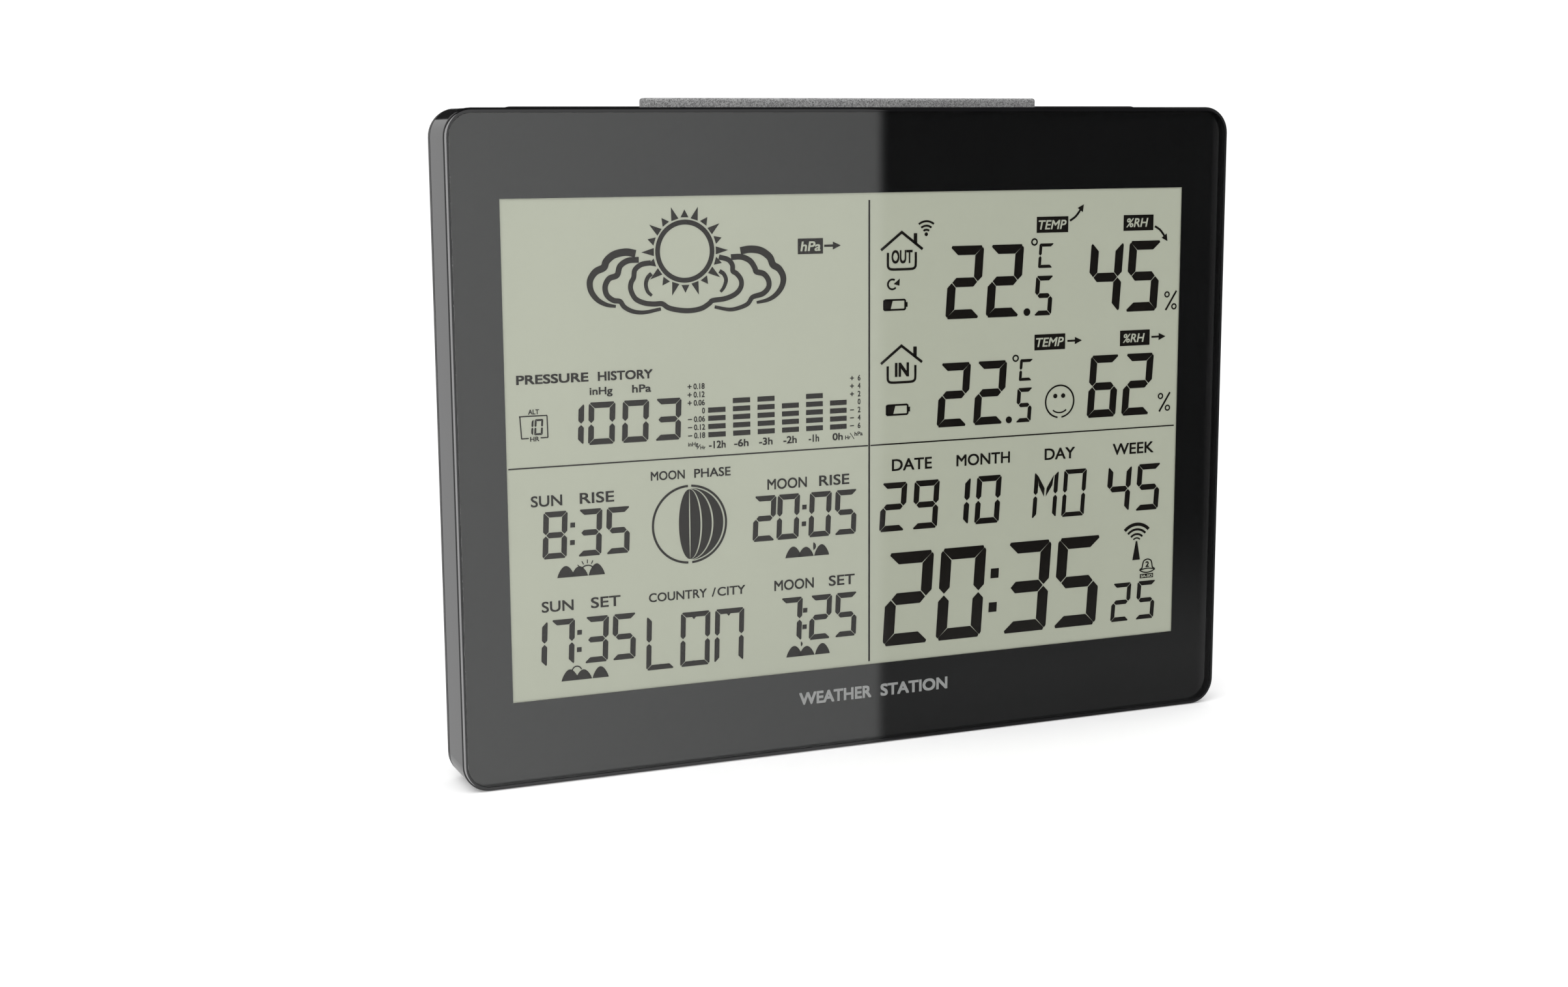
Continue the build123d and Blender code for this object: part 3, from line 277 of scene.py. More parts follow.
class Print:
    """Collects flat faces, then turns them into one closed piece."""

    def __init__(self, name, front=INK_FRONT, back=INK_BACK):
        self.name, self.front, self.back = name, front, back
        self.place = to_row
        self.bm = bmesh.new()

    def face(self, points):
        area = sum(a[0] * b[1] - b[0] * a[1] for a, b in zip(points, points[1:] + points[:1]))
        if area < 0:
            points = points[::-1]
        low = [self.bm.verts.new(self.place(x, y, self.back)) for x, y in points]
        top = [self.bm.verts.new(self.place(x, y, self.front)) for x, y in points]
        self.bm.faces.new(top)
        self.bm.faces.new(low[::-1])
        for i in range(len(points)):
            j = (i + 1) % len(points)
            self.bm.faces.new((low[i], low[j], top[j], top[i]))

    def box(self, x0, y0, x1, y1, lean=0.0):
        shift = lean * (y1 - y0)
        self.face([(x0 + shift, y0), (x1 + shift, y0), (x1, y1), (x0, y1)])

    def strip(self, left, right, closed=False):
        """Closed band between two lines of points."""
        n = len(left)
        rings = []
        for a, b in zip(left, right):
            corners = ((a, self.front), (b, self.front), (b, self.back), (a, self.back))
            rings.append([self.bm.verts.new(self.place(*p, d)) for p, d in corners])
        for i in range(n if closed else n - 1):
            p, q = rings[i], rings[(i + 1) % n]
            for k in range(4):
                m = (k + 1) % 4
                self.bm.faces.new((p[k], q[k], q[m], p[m]))
        if not closed:
            self.bm.faces.new(rings[0])
            self.bm.faces.new(rings[-1][::-1])

    def line(self, points, width, end_width=None, smooth=True):
        """Stroke along points, smoothed, that thins to end_width near its last end."""
        pts = [Vector((x, y)) for x, y in points]
        if smooth and len(pts) > 2:
            ext = [pts[0] * 2 - pts[1]] + pts + [pts[-1] * 2 - pts[-2]]
            out = []
            for i in range(1, len(ext) - 2):
                a, b, c, d = ext[i - 1], ext[i], ext[i + 1], ext[i + 2]
                for s in range(CURVE_STEPS):
                    t = s / CURVE_STEPS
                    square = (2 * a - 5 * b + 4 * c - d) * t * t
                    cube = (3 * b - a - 3 * c + d) * t ** 3
                    out.append(0.5 * (2 * b + (c - a) * t + square + cube))
            out.append(pts[-1])
            pts = out
        end_width = width if end_width is None else end_width
        left, right = [], []
        for i, p in enumerate(pts):
            before = (p - pts[i - 1]).normalized() if i else None
            after = (pts[i + 1] - p).normalized() if i < len(pts) - 1 else None
            way = ((before or after) + (after or before)).normalized()
            side = Vector((-way.y, way.x))
            half = (width + (end_width - width) * (i / (len(pts) - 1)) ** 3) / 2
            if before and after:
                half /= max(0.5, side.dot(Vector((-before.y, before.x))))
            left.append(tuple(p + side * half))
            right.append(tuple(p - side * half))
        self.strip(left, right)

    def arc(self, cx, cy, radius, width, start=0, stop=360, steps=48):
        """Ring or part of one. Angles in degrees, clockwise from 12 o'clock."""
        closed = abs(stop - start) >= 360
        count = steps if closed else max(4, int(steps * abs(stop - start) / 360) + 1)
        outer, inner = [], []
        for i in range(count):
            a = math.radians(start + (stop - start) * i / (count if closed else count - 1))
            s, c = math.sin(a), -math.cos(a)
            outer.append((cx + (radius + width / 2) * s, cy + (radius + width / 2) * c))
            inner.append((cx + (radius - width / 2) * s, cy + (radius - width / 2) * c))
        self.strip(outer, inner, closed)

    def dot(self, cx, cy, radius):
        turn = [math.tau * i / DOT_STEPS for i in range(DOT_STEPS)]
        self.face([(cx + radius * math.sin(t), cy - radius * math.cos(t)) for t in turn])

    def words(self, text, x0, x1, y0, y1, weight=0.0, lean=0.0):
        """Lettering scaled so that its capitals fill the box. Copies set a little apart give it weight."""
        data = bpy.data.curves.new("words", "FONT")
        data.body = text
        data.resolution_u = 4
        data.shear = lean
        helper = bpy.data.objects.new("words", data)
        scene.collection.objects.link(helper)
        bpy.context.view_layer.update()
        mesh = bpy.data.meshes.new_from_object(helper.evaluated_get(bpy.context.evaluated_depsgraph_get()))
        bpy.data.objects.remove(helper)
        bpy.data.curves.remove(data)
        flat = bmesh.new()
        flat.from_mesh(mesh)
        bpy.data.meshes.remove(mesh)
        bmesh.ops.remove_doubles(flat, verts=flat.verts, dist=1e-5)
        xs = [v.co.x for v in flat.verts]
        ys = [v.co.y for v in flat.verts]
        low = 0.0 if "g" in text else min(ys)  # a g hangs below the line
        sx = (x1 - x0) / (max(xs) - min(xs) + 2 * weight)
        sy = (y1 - y0) / (max(ys) - low + 2 * weight)
        left = min(xs) - weight
        low -= weight
        shifts = [(i * weight, j * weight) for i in (-1, 1) for j in (-1, 1)] if weight else [(0, 0)]
        for number, (dx, dy) in enumerate(shifts):
            front = self.front + (self.front - self.back) * LAYER * number
            top = {}
            under = {}
            for v in flat.verts:
                p = (x0 + (v.co.x + dx - left) * sx, y1 - (v.co.y + dy - low) * sy)
                top[v] = self.bm.verts.new(self.place(*p, front))
                under[v] = self.bm.verts.new(self.place(*p, self.back))
            for f in flat.faces:
                self.bm.faces.new([top[v] for v in f.verts])
                self.bm.faces.new([under[v] for v in reversed(f.verts)])
            for e in flat.edges:
                if len(e.link_faces) == 1:
                    a, b = e.verts
                    self.bm.faces.new((top[a], top[b], under[b], under[a]))
        flat.free()

    def done(self, ink, body="case"):
        bmesh.ops.recalc_face_normals(self.bm, faces=self.bm.faces)
        mesh = bpy.data.meshes.new(self.name)
        self.bm.to_mesh(mesh)
        self.bm.free()
        mesh.materials.append(ink)
        piece = bpy.data.objects.new(self.name, mesh)
        scene.collection.objects.link(piece)
        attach(piece, body)


SEGMENTS = {
    "0": "abcdef", "1": "bc", "2": "abged", "3": "abgcd", "4": "fgbc",
    "5": "afgcd", "6": "afgedc", "7": "abc", "8": "abcdefg", "9": "abcdfg",
    "C": "adef", "L": "fed", "O": "abcdef", "N": "efabc", "M": "efbc",
}


def digit(out, char, x, top, bottom, width, bar, lean=0.065, gap=0.14):
    """Seven-segment character. x is the left side at the foot; it leans to the right going up."""
    h, w, t, g = bottom - top, width, bar, gap
    c = t * 0.22
    m = h / 2
    shapes = {
        "a": [(g + c, 0), (w - g - c, 0), (w - g - c * 0.6, c), (w - t - g * 0.7, t), (t + g * 0.7, t),
              (g + c * 0.6, c)],
        "g": [(t / 2 + g, m), (t * 0.95 + g, m - t / 2), (w - t * 0.95 - g, m - t / 2), (w - t / 2 - g, m),
              (w - t * 0.95 - g, m + t / 2), (t * 0.95 + g, m + t / 2)],
        "f": [(c * 0.6, g + c * 0.6), (c * 1.3, g + c * 1.1), (t, t + g * 0.7), (t, m - t / 2 - g),
              (t / 2, m - g), (0, m - t / 2 - g), (0, g + c * 1.5)],
    }
    shapes["d"] = [(px, h - py) for px, py in shapes["a"]]
    shapes["e"] = [(px, h - py) for px, py in shapes["f"]]
    shapes["b"] = [(w - px, py) for px, py in shapes["f"]]
    shapes["c"] = [(w - px, h - py) for px, py in shapes["f"]]
    for key in SEGMENTS[char]:
        out.face([(x + px + lean * (h - py), top + py) for px, py in shapes[key]])


def digits(out, places, *size, **shape):
    for char, x in places:
        digit(out, char, x, *size, **shape)


def arrow(out, x0, y0, x1, y1, width=0.5, head=1.9, spread=0.85):
    way = Vector((x1 - x0, y1 - y0)).normalized()
    side = Vector((-way.y, way.x))
    tip = Vector((x1, y1))
    neck = tip - way * head
    a = Vector((x0, y0))
    out.face([tuple(p) for p in (a + side * width / 2, neck + side * width / 2, neck + side * spread, tip,
                                 neck - side * spread, neck - side * width / 2, a - side * width / 2)])


# Width, width at the last end, and the points of each stroke of the clouds.
CLOUD_LINES = (
    (1.6, 0.6, (
        (29.4, 12.0), (27.2, 11.6), (24.6, 12.1), (22.9, 13.4), (22.3, 14.7), (20.4, 15.6), (19.2, 17.4),
        (19.4, 19.6), (20.8, 21.5), (22.8, 22.6), (24.8, 23.0),
    )),
    (1.25, 0.7, (
        (30.1, 13.3), (27.7, 13.4), (25.9, 14.5), (25.2, 16.4), (23.4, 17.1), (22.5, 18.8), (22.9, 20.6),
        (24.3, 21.7), (25.8, 22.0), (26.7, 23.2), (28.6, 24.2), (31.2, 24.5), (34.9, 23.9),
    )),
    (1.1, 1.1, (
        (32.8, 14.0), (30.7, 14.3), (29.2, 15.4), (28.9, 17.0), (28.3, 18.1), (28.2, 19.6), (29.2, 21.5),
        (31.2, 22.5), (33.4, 22.8), (35.2, 22.8), (36.6, 23.7), (39.0, 24.3), (41.6, 24.5), (44.2, 24.1),
        (46.0, 23.1), (46.8, 22.5), (49.6, 22.2), (52.0, 21.3), (53.3, 19.9), (53.4, 18.3), (52.4, 16.9),
        (51.5, 16.3), (51.4, 15.0), (50.4, 13.8), (48.3, 13.2),
    )),
    (0.9, 0.6, (
        (32.9, 16.3), (32.0, 17.2), (31.6, 18.6), (32.0, 20.1), (32.9, 21.0),
    )),
    (0.9, 0.6, (
        (48.4, 16.2), (49.4, 16.9), (49.9, 18.2), (49.4, 19.7), (48.6, 20.7),
    )),
    (1.25, 0.7, (
        (51.1, 13.3), (53.5, 13.3), (55.5, 14.2), (56.6, 15.7), (57.0, 16.6), (58.7, 17.1), (59.8, 18.5),
        (59.8, 20.1), (58.5, 21.4), (56.6, 21.9), (55.8, 22.3), (54.9, 23.5), (52.9, 24.3), (50.6, 24.6),
        (47.2, 23.9),
    )),
    (1.6, 0.6, (
        (53.3, 12.0), (55.6, 11.7), (58.1, 12.1), (60.1, 13.5), (60.9, 15.2), (62.3, 16.1), (63.3, 17.9),
        (63.0, 19.9), (61.6, 21.7), (59.6, 22.8), (57.0, 23.3),
    )),
)


def forecast():
    out = Print("forecast_symbol")
    cx, cy = 40.55, 11.75
    out.arc(cx, cy, 6.2, 1.05, steps=72)
    for i in range(20):
        a = math.radians(18 * i)
        tip, base, half = (9.85, 7.05, 0.85) if i % 2 else (8.85, 7.2, 0.9)
        way, side = Vector((math.sin(a), -math.cos(a))), Vector((math.cos(a), math.sin(a)))
        mid = Vector((cx, cy))
        foot = mid + way * base
        out.face([tuple(mid + way * tip), tuple(foot + side * half), tuple(foot - side * half)])
    for width, end_width, points in CLOUD_LINES:
        out.line(points, width, end_width)
    arrow(out, 73.1, 11.4, 77.1, 11.4)
    out.box(66.8, 9.7, 72.8, 13.1)
    out.done(segment_dark)


# Bars lit, label, and where the label starts and ends.
HISTORY_BARS = (
    (4, "-12h", 45.5, 49.4), (5, "-6h", 51.4, 54.8), (5, "-3h", 57.3, 60.5),
    (4, "-2h", 63.1, 66.3), (5, "-1h", 69.2, 71.7), (4, "0h", 75.0, 77.5),
)
# Inches of mercury on the left and hectopascals on the right, from the top.
HISTORY_SCALE = (
    ("0.18", "6"), ("0.12", "4"), ("0.06", "2"), ("0", "0"), ("0.06", "2"), ("0.12", "4"), ("0.18", "6"),
)


def pressure():
    out = Print("pressure_history")
    out.words("PRESSURE", 2.6, 18.4, 36.7, 38.7, weight=0.025)
    out.words("HISTORY", 20.5, 32.8, 36.7, 38.7, weight=0.025)
    out.words("inHg", 18.6, 23.7, 40.0, 41.6, weight=0.02)
    out.words("hPa", 28.1, 32.4, 39.9, 41.6, weight=0.02)
    out.words("ALT", 5.0, 7.4, 44.0, 45.05, weight=0.02)
    out.words("HR", 5.3, 7.3, 49.8, 50.8, weight=0.02)
    out.line([(3.0, 45.4), (9.15, 45.4)], 0.26)
    out.line([(9.1, 45.5), (9.2, 50.1)], 0.26)
    out.line([(3.2, 45.5), (3.45, 50.1)], 0.26)
    out.line([(3.4, 50.1), (5.0, 50.1)], 0.26)
    out.line([(7.6, 50.1), (9.25, 50.1)], 0.26)
    digits(out, (("1", 4.1), ("0", 6.2)), 46.1, 49.5, 1.85, 0.42, gap=0.05)
    digit(out, "1", 11.1, 43.2, 52.3, 5.9, 1.25, lean=0.04)
    digits(out, (("0", 18.0), ("0", 25.6), ("3", 33.0)), 43.2, 52.3, 5.95, 1.25, lean=0.04)
    for i, (tall, label, x0, x1) in enumerate(HISTORY_BARS):
        for row in range(tall):
            y = 51.7 - 1.8 * row
            out.box(45.4 + 5.8 * i, y - 0.56, 49.45 + 5.8 * i, y + 0.56)
        out.words(label, x0, x1, 53.1, 54.75, weight=0.02)
    for i, (inch, hecto) in enumerate(HISTORY_SCALE):
        y = 40.95 + 1.79 * i
        out.words(inch, 44.65 - (2.55 if len(inch) > 1 else 0.65), 44.65, y - 0.64, y + 0.64, weight=0.018)
        out.words(hecto, 81.2, 81.85, y - 0.64, y + 0.64, weight=0.018)
        for left in (40.7, 79.3):
            if i != 3:
                out.box(left, y - 0.11, left + 0.95, y + 0.11)
            if i < 3:
                out.box(left + 0.365, y - 0.47, left + 0.585, y + 0.47)
    out.words("inHg", 40.7, 43.0, 53.1, 54.0, weight=0.015)
    out.line([(42.7, 54.7), (43.5, 53.7)], 0.14)
    out.words("Hr", 43.5, 44.7, 54.0, 54.8, weight=0.015)
    out.words("Hr", 78.1, 79.4, 53.8, 54.7, weight=0.015)
    out.line([(79.3, 53.3), (80.3, 54.7)], 0.14)
    out.words("hPa", 80.4, 82.4, 53.1, 54.0, weight=0.015)
    out.done(segment_dark)


HILL_STEPS = 14


def hills(out, left, base):
    """Three low hills on one base line."""
    def bump(x0, x1, height):
        pts = []
        for i in range(HILL_STEPS + 1):
            t = i / HILL_STEPS
            pts.append((x0 + (x1 - x0) * t, base - height * math.sin(math.pi * t) ** 0.75))
        out.face(pts)

    bump(left, left + 3.9, 2.5)
    bump(left + 3.1, left + 6.9, 2.2)
    bump(left + 7.0, left + 10.7, 2.5)


# Top of each row of times, and its digits with their places.
RISE_AND_SET = (
    (66.1, (("8", 7.35), ("3", 15.1), ("5", 21.45), ("2", 55.55), ("0", 61.25), ("0", 69.0), ("5", 75.3))),
    (89.7, (("1", 2.35), ("7", 8.45), ("3", 16.1), ("5", 22.4), ("7", 61.8), ("2", 69.0), ("5", 75.3))),
)


def sky():
    out = Print("sun_and_moon")
    out.words("SUN", 5.1, 12.0, 62.5, 64.9, weight=0.014)
    out.words("RISE", 15.9, 23.6, 62.5, 64.9, weight=0.014)
    out.words("SUN", 6.9, 14.0, 85.5, 87.9, weight=0.014)
    out.words("SET", 17.9, 24.6, 85.5, 87.9, weight=0.014)
    out.words("MOON", 32.0, 39.8, 59.0, 61.0, weight=0.014)
    out.words("PHASE", 42.0, 50.5, 59.0, 61.0, weight=0.014)
    out.words("COUNTRY", 31.1, 44.6, 85.8, 87.8, weight=0.014)
    out.line([(46.6, 85.8), (45.9, 87.8)], 0.3)
    out.words("CITY", 47.1, 53.7, 85.8, 87.8, weight=0.014)
    out.words("MOON", 59.2, 68.7, 62.45, 64.85, weight=0.014)
    out.words("RISE", 71.7, 79.1, 62.45, 64.85, weight=0.014)
    out.words("MOON", 60.7, 70.3, 85.5, 87.9, weight=0.014)
    out.words("SET", 74.0, 80.4, 85.5, 87.9, weight=0.014)
    for top, places in RISE_AND_SET:
        digits(out, places, top, top + 10.2, 5.35, 1.22, lean=0.045)
        for left in (14.0, 67.9) if top < 80 else (15.0, 67.95):
            out.box(left - 0.35, top + 2.7, left + 0.7, top + 3.75, 0.04)
            out.box(left - 0.5, top + 6.5, left + 0.55, top + 7.55, 0.04)
    for char, x, w in (("L", 30.2, 6.6), ("O", 38.1, 6.9), ("N", 46.15, 6.9)):
        digit(out, char, x, 90.8, 103.0, w, 1.15, lean=0.032)
    for x, y in ((33.6, 101.75), (41.5, 91.95), (41.3, 101.75), (49.7, 91.95)):
        tip, foot = (y + 0.55, y - 0.05) if y < 95 else (y - 0.05, y + 0.5)
        out.face([(x, tip), (x - 0.5, foot), (x + 0.5, foot)])
    # Moon disc: ring, and the lit part in gores
    cx, cy = 40.8, 71.15
    out.arc(cx, cy, 8.5, 0.5, 3, 177, steps=80)
    out.arc(cx, cy, 8.5, 0.5, 183, 358, steps=80)

    def gore(a0, a1, b, trim):
        left, right = [], []
        for i in range(25):
            t = math.radians(-90 + trim + (180 - 2 * trim) * i / 24)
            left.append((cx + a0 * math.cos(t), cy + b * math.sin(t)))
            right.append((cx + a1 * math.cos(t), cy + b * math.sin(t)))
        out.strip(left, right)

    gore(-2.5, -0.14, 7.75, 4)
    gore(0.16, 2.5, 7.75, 4)
    gore(2.9, 5.15, 7.85, 5)
    gore(5.55, 7.85, 8.0, 7)
    hills(out, 10.5, 80.6)
    hills(out, 10.9, 103.4)
    hills(out, 63.4, 80.6)
    hills(out, 63.5, 103.4)
    out.arc(17.3, 80.1, 1.75, 0.28, -62, 62)
    for a in (-48, -24, 0, 24, 48):
        s, c = math.sin(math.radians(a)), math.cos(math.radians(a))
        out.line([(17.3 + 2.2 * s, 80.1 - 2.2 * c), (17.3 + 3.0 * s, 80.1 - 3.0 * c)], 0.2)
    out.arc(14.4, 101.4, 1.05, 0.26, -75, 75)
    for x, y, r in ((70.25, 78.4, 0.95), (67.1, 100.6, 0.6)):
        outer, inner = [], []
        for i in range(17):
            t = math.radians(-70 + 140 * i / 16)
            rim = x - 0.35 * r + r * math.cos(t)
            outer.append((rim, y + r * math.sin(t)))
            inner.append((rim - 0.72 * r * math.cos(t * 90 / 70), y + r * math.sin(t)))
        out.strip(outer, inner)
    out.done(segment_dark)


def house(out, y, label):
    out.line([(86.9, y + 3.9), (92.0, y), (97.2, y + 3.9)], 0.6, smooth=False)
    out.line([(95.4, y + 0.3), (95.4, y + 2.6)], 0.85)
    out.line([(88.6, y + 4.5), (88.6, y + 7.0), (88.75, y + 7.8), (89.5, y + 8.2), (92.0, y + 8.25),
              (94.6, y + 8.2), (95.35, y + 7.8), (95.5, y + 7.0), (95.5, y + 4.5)], 0.55)
    if label == "OUT":
        out.words(label, 89.5, 94.7, y + 3.95, y + 6.95, weight=0.025)
    else:
        out.words(label, 90.4, 93.9, y + 3.8, y + 7.0, weight=0.035)


def cell(out, x, y):
    out.line([(x + 0.2, y), (x + 5.0, y), (x + 5.25, y + 0.2), (x + 5.25, y + 2.0), (x + 5.0, y + 2.2),
              (x + 0.2, y + 2.2), (x, y + 2.0), (x, y + 0.2), (x + 0.2, y)], 0.42, smooth=False)
    out.face([(x, y), (x + 2.2, y), (x + 1.6, y + 2.2), (x, y + 2.2)])
    out.box(x + 5.3, y + 0.55, x + 5.85, y + 1.65)


def percent(out, x, y):
    out.arc(x + 0.55, y + 0.8, 0.58, 0.34, steps=28)
    out.arc(x + 2.55, y + 3.7, 0.58, 0.34, steps=28)
    out.line([(x + 3.15, y), (x + 0.25, y + 4.5)], 0.44)


def climate():
    out = Print("indoor_and_outdoor")
    house(out, 8.85, "OUT")
    house(out, 34.25, "IN")
    for r in (1.15, 2.05, 3.05):
        out.arc(98.1, 9.6, r, 0.46, -38, 38)
    out.dot(98.1, 9.45, 0.42)
    out.arc(89.7, 20.4, 1.1, 0.42, 130, 392)
    out.face([(90.05, 20.35), (91.55, 19.15), (91.45, 20.75)])
    cell(out, 87.65, 23.9)
    cell(out, 88.35, 47.6)
    for x, y, width in ((126.3, 6.15, 8.25), (149.35, 6.2, 8.1), (126.1, 33.15, 8.1), (149.0, 33.15, 8.1)):
        out.box(x, y, x + width, y + 3.65)
    out.line([(135.0, 7.2), (136.4, 6.3), (137.4, 5.2)], 0.5)
    arrow(out, 137.2, 5.45, 138.6, 3.5, 0.45, 1.6, 0.85)
    out.line([(157.9, 8.95), (159.3, 9.8), (160.3, 10.9)], 0.5)
    arrow(out, 160.1, 10.65, 161.4, 12.5, 0.45, 1.6, 0.85)
    arrow(out, 134.8, 34.95, 138.7, 34.95, 0.45)
    arrow(out, 157.6, 34.95, 161.5, 34.95, 0.45)
    digits(out, (("2", 103.0), ("2", 113.3), ("4", 139.8), ("5", 150.1)), 12.25, 28.75, 8.7, 2.1)
    digit(out, "5", 125.75, 19.65, 28.75, 4.6, 1.1)
    digit(out, "C", 126.75, 12.25, 17.85, 3.75, 0.72, gap=0.05)
    out.arc(125.75, 11.85, 0.68, 0.38, steps=28)
    out.dot(124.0, 27.85, 0.88)
    digits(out, (("2", 100.95), ("2", 110.3), ("6", 140.3), ("2", 149.7)), 38.7, 53.35, 7.75, 1.8)
    digit(out, "5", 121.3, 45.35, 53.35, 4.0, 0.95)
    digit(out, "C", 122.1, 38.7, 43.7, 3.35, 0.68, gap=0.05)
    out.arc(121.2, 38.4, 0.66, 0.36, steps=28)
    out.dot(119.6, 52.6, 0.8)
    percent(out, 161.1, 24.25)
    percent(out, 159.95, 48.4)
    out.arc(133.0, 49.0, 3.75, 0.38, -172, 172, steps=80)
    out.arc(133.0, 48.9, 2.75, 0.32, 140, 220, steps=60)
    out.dot(131.8, 47.7, 0.54)
    out.dot(133.9, 47.7, 0.54)
    out.done(segment_dark)


def clock():
    out = Print("date_and_clock")
    headings = (("DATE", 89.7, 99.8), ("MONTH", 106.1, 120.0), ("DAY", 129.2, 137.3), ("WEEK", 147.6, 158.9))
    for text, x0, x1 in headings:
        out.words(text, x0, x1, 59.95, 62.65, weight=0.014)
    date = (("2", 86.5), ("9", 94.75), ("1", 102.75), ("0", 110.8), ("4", 145.9), ("5", 154.0))
    digits(out, date, 65.3, 76.5, 6.4, 1.35)
    digit(out, "M", 126.0, 65.3, 76.5, 6.35, 1.05)
    out.face([(127.6, 66.3), (127.75, 68.6), (129.15, 71.3), (129.3, 69.3)])
    out.face([(131.75, 66.3), (131.35, 68.7), (129.6, 71.3), (129.85, 69.3)])
    digit(out, "O", 133.85, 65.3, 76.5, 6.1, 1.05)
    digits(out, (("2", 87.4), ("0", 101.0), ("3", 118.3), ("5", 131.9)), 81.6, 103.25, 11.7, 2.75, gap=0.2)
    out.box(115.2, 87.35, 117.3, 89.65, 0.05)
    out.box(114.75, 95.4, 116.85, 97.7, 0.05)
    digits(out, (("2", 147.8), ("5", 154.7)), 93.85, 103.2, 5.1, 1.05)
    for r, w in ((1.25, 0.35), (2.2, 0.5), (3.35, 0.55), (4.6, 0.8)):
        out.arc(154.7, 84.4, r, w, -46, 46, steps=80)
    out.face([(154.5, 83.9), (154.9, 83.9), (155.75, 88.5), (153.65, 88.5)])
    # Alarm bell with its number
    out.line([(155.8, 91.0), (156.4, 90.6), (156.6, 89.6), (156.9, 88.9), (157.85, 88.55), (158.8, 88.9),
              (159.1, 89.6), (159.3, 90.6), (159.9, 91.0)], 0.3)
    out.line([(155.7, 91.1), (156.6, 91.6), (157.85, 91.8), (159.1, 91.6), (160.0, 91.1)], 0.28)
    out.line([(155.7, 91.1), (157.85, 90.8), (160.0, 91.1)], 0.26)
    out.words("2", 157.35, 158.35, 89.1, 90.5, weight=0.03)
    out.box(155.85, 92.1, 159.55, 93.15)
    out.done(segment_dark)


def rules():
    out = Print("dividing_lines")
    out.box(83.82, 1.6, 84.23, 106.3)
    out.box(0.4, 56.28, 83.7, 56.58)
    out.box(84.35, 56.28, 164.4, 56.58)
    out.done(segment_dark)


def pale_words():
    """Letters left clear in the dark boxes."""
    out = Print("clear_lettering", PALE_FRONT, INK_FRONT - 0.000005)
    out.words("hPa", 67.4, 72.2, 10.35, 12.5, weight=0.018, lean=0.15)
    for x, y in ((126.75, 6.95), (126.5, 33.95)):
        out.words("TEMP", x, x + 7.3, y, y + 2.1, weight=0.014, lean=0.2)
    for x, y in ((150.1, 6.95), (149.8, 33.95)):
        out.words("%RH", x, x + 5.9, y, y + 2.1, weight=0.014, lean=0.2)
    out.words("SA-SO", 156.1, 159.3, 92.3, 92.95, weight=0.02)
    out.done(film_grey)


def mark():
    """Plain words printed on the mask under the display."""
    out = Print("front_mark", MASK_Y - 0.00004, MASK_Y - 0.00001)
    out.words("WEATHER", 66.5, 84.5, 111.9, 114.8, weight=0.03)
    out.words("STATION", 86.8, 104.0, 111.9, 114.8, weight=0.03)
    out.done(print_grey)


KEY_WORDS = {
    "key_mode": "MODE", "key_alarm": "ALARM", "key_up": "UP",
    "key_down": "DOWN", "key_memory": "MEM", "key_channel": "CH",
}
KEY_RECESS = 1.0 * MM  # depth of the recess that the keys stand in
LETTER_PITCH = 1.15  # mm


def key_legends():
    """Plain words in the keys' recess, above each key and facing back."""
    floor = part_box("rear_shell")[1].y - KEY_RECESS
    out = Print("key_legends", floor + 0.04 * MM, floor + 0.01 * MM)
    for node, text in KEY_WORDS.items():
        lo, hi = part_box(node)
        middle = (lo + hi) / 2
        out.place = lambda x, y, depth: Vector((middle.x - x * MM, depth, middle.z - y * MM))
        half = LETTER_PITCH * len(text) / 2
        out.words(text, -half, half, -4.95, -3.7, weight=0.025)
    out.done(legend_white)


forecast()
pressure()
sky()
climate()
clock()
rules()
pale_words()
mark()
key_legends()


# ---------------------------------------------------------------- studio
def sheet_card(name, corners, grey, glow=0.0):
    mesh = bpy.data.meshes.new(name)
    mesh.from_pydata(corners, [], [list(range(len(corners)))])
    card = bpy.data.objects.new(name, mesh)
    scene.collection.objects.link(card)
    m = bpy.data.materials.new(name)
    m.use_nodes = True
    b = m.node_tree.nodes["Principled BSDF"]
    b.inputs["Base Color"].default_value = (grey, grey, grey, 1)
    b.inputs["Roughness"].default_value = 0.9
    b.inputs["Specular IOR Level"].default_value = 0.0
    b.inputs["Emission Color"].default_value = (1, 1, 1, 1)
    b.inputs["Emission Strength"].default_value = glow
    mesh.materials.append(m)
    return card


def reflection_card(name, corners, radiance):
    """Card that only reflections see. radiance is a number, or takes the node tree and gives a socket."""
    card = sheet_card(name, corners, 0.0)
    card.visible_camera = False
    card.visible_diffuse = False
    card.visible_transmission = False
    card.visible_volume_scatter = False
    card.visible_shadow = False
    m = card.data.materials[0]
    tree = m.node_tree
    tree.nodes.remove(tree.nodes["Principled BSDF"])
    glow = tree.nodes.new("ShaderNodeEmission")
    if callable(radiance):
        tree.links.new(radiance(tree), glow.inputs["Strength"])
    else:
        glow.inputs["Strength"].default_value = radiance
    tree.links.new(glow.outputs["Emission"], tree.nodes["Material Output"].inputs["Surface"])
    m.cycles.emission_sampling = "NONE"


def upright_card(name, start, end, low, high, radiance):
    """Reflection card that stands on the line from start to end, (x, y) each."""
    reflection_card(name, [(*start, low), (*end, low), (*end, high), (*start, high)], radiance)


def level_card(name, height, radiance):
    x, front, back = 0.4, -0.3, 0.6
    corners = [(-x, front, height), (x, front, height), (x, back, height), (-x, back, height)]
    reflection_card(name, corners, radiance)


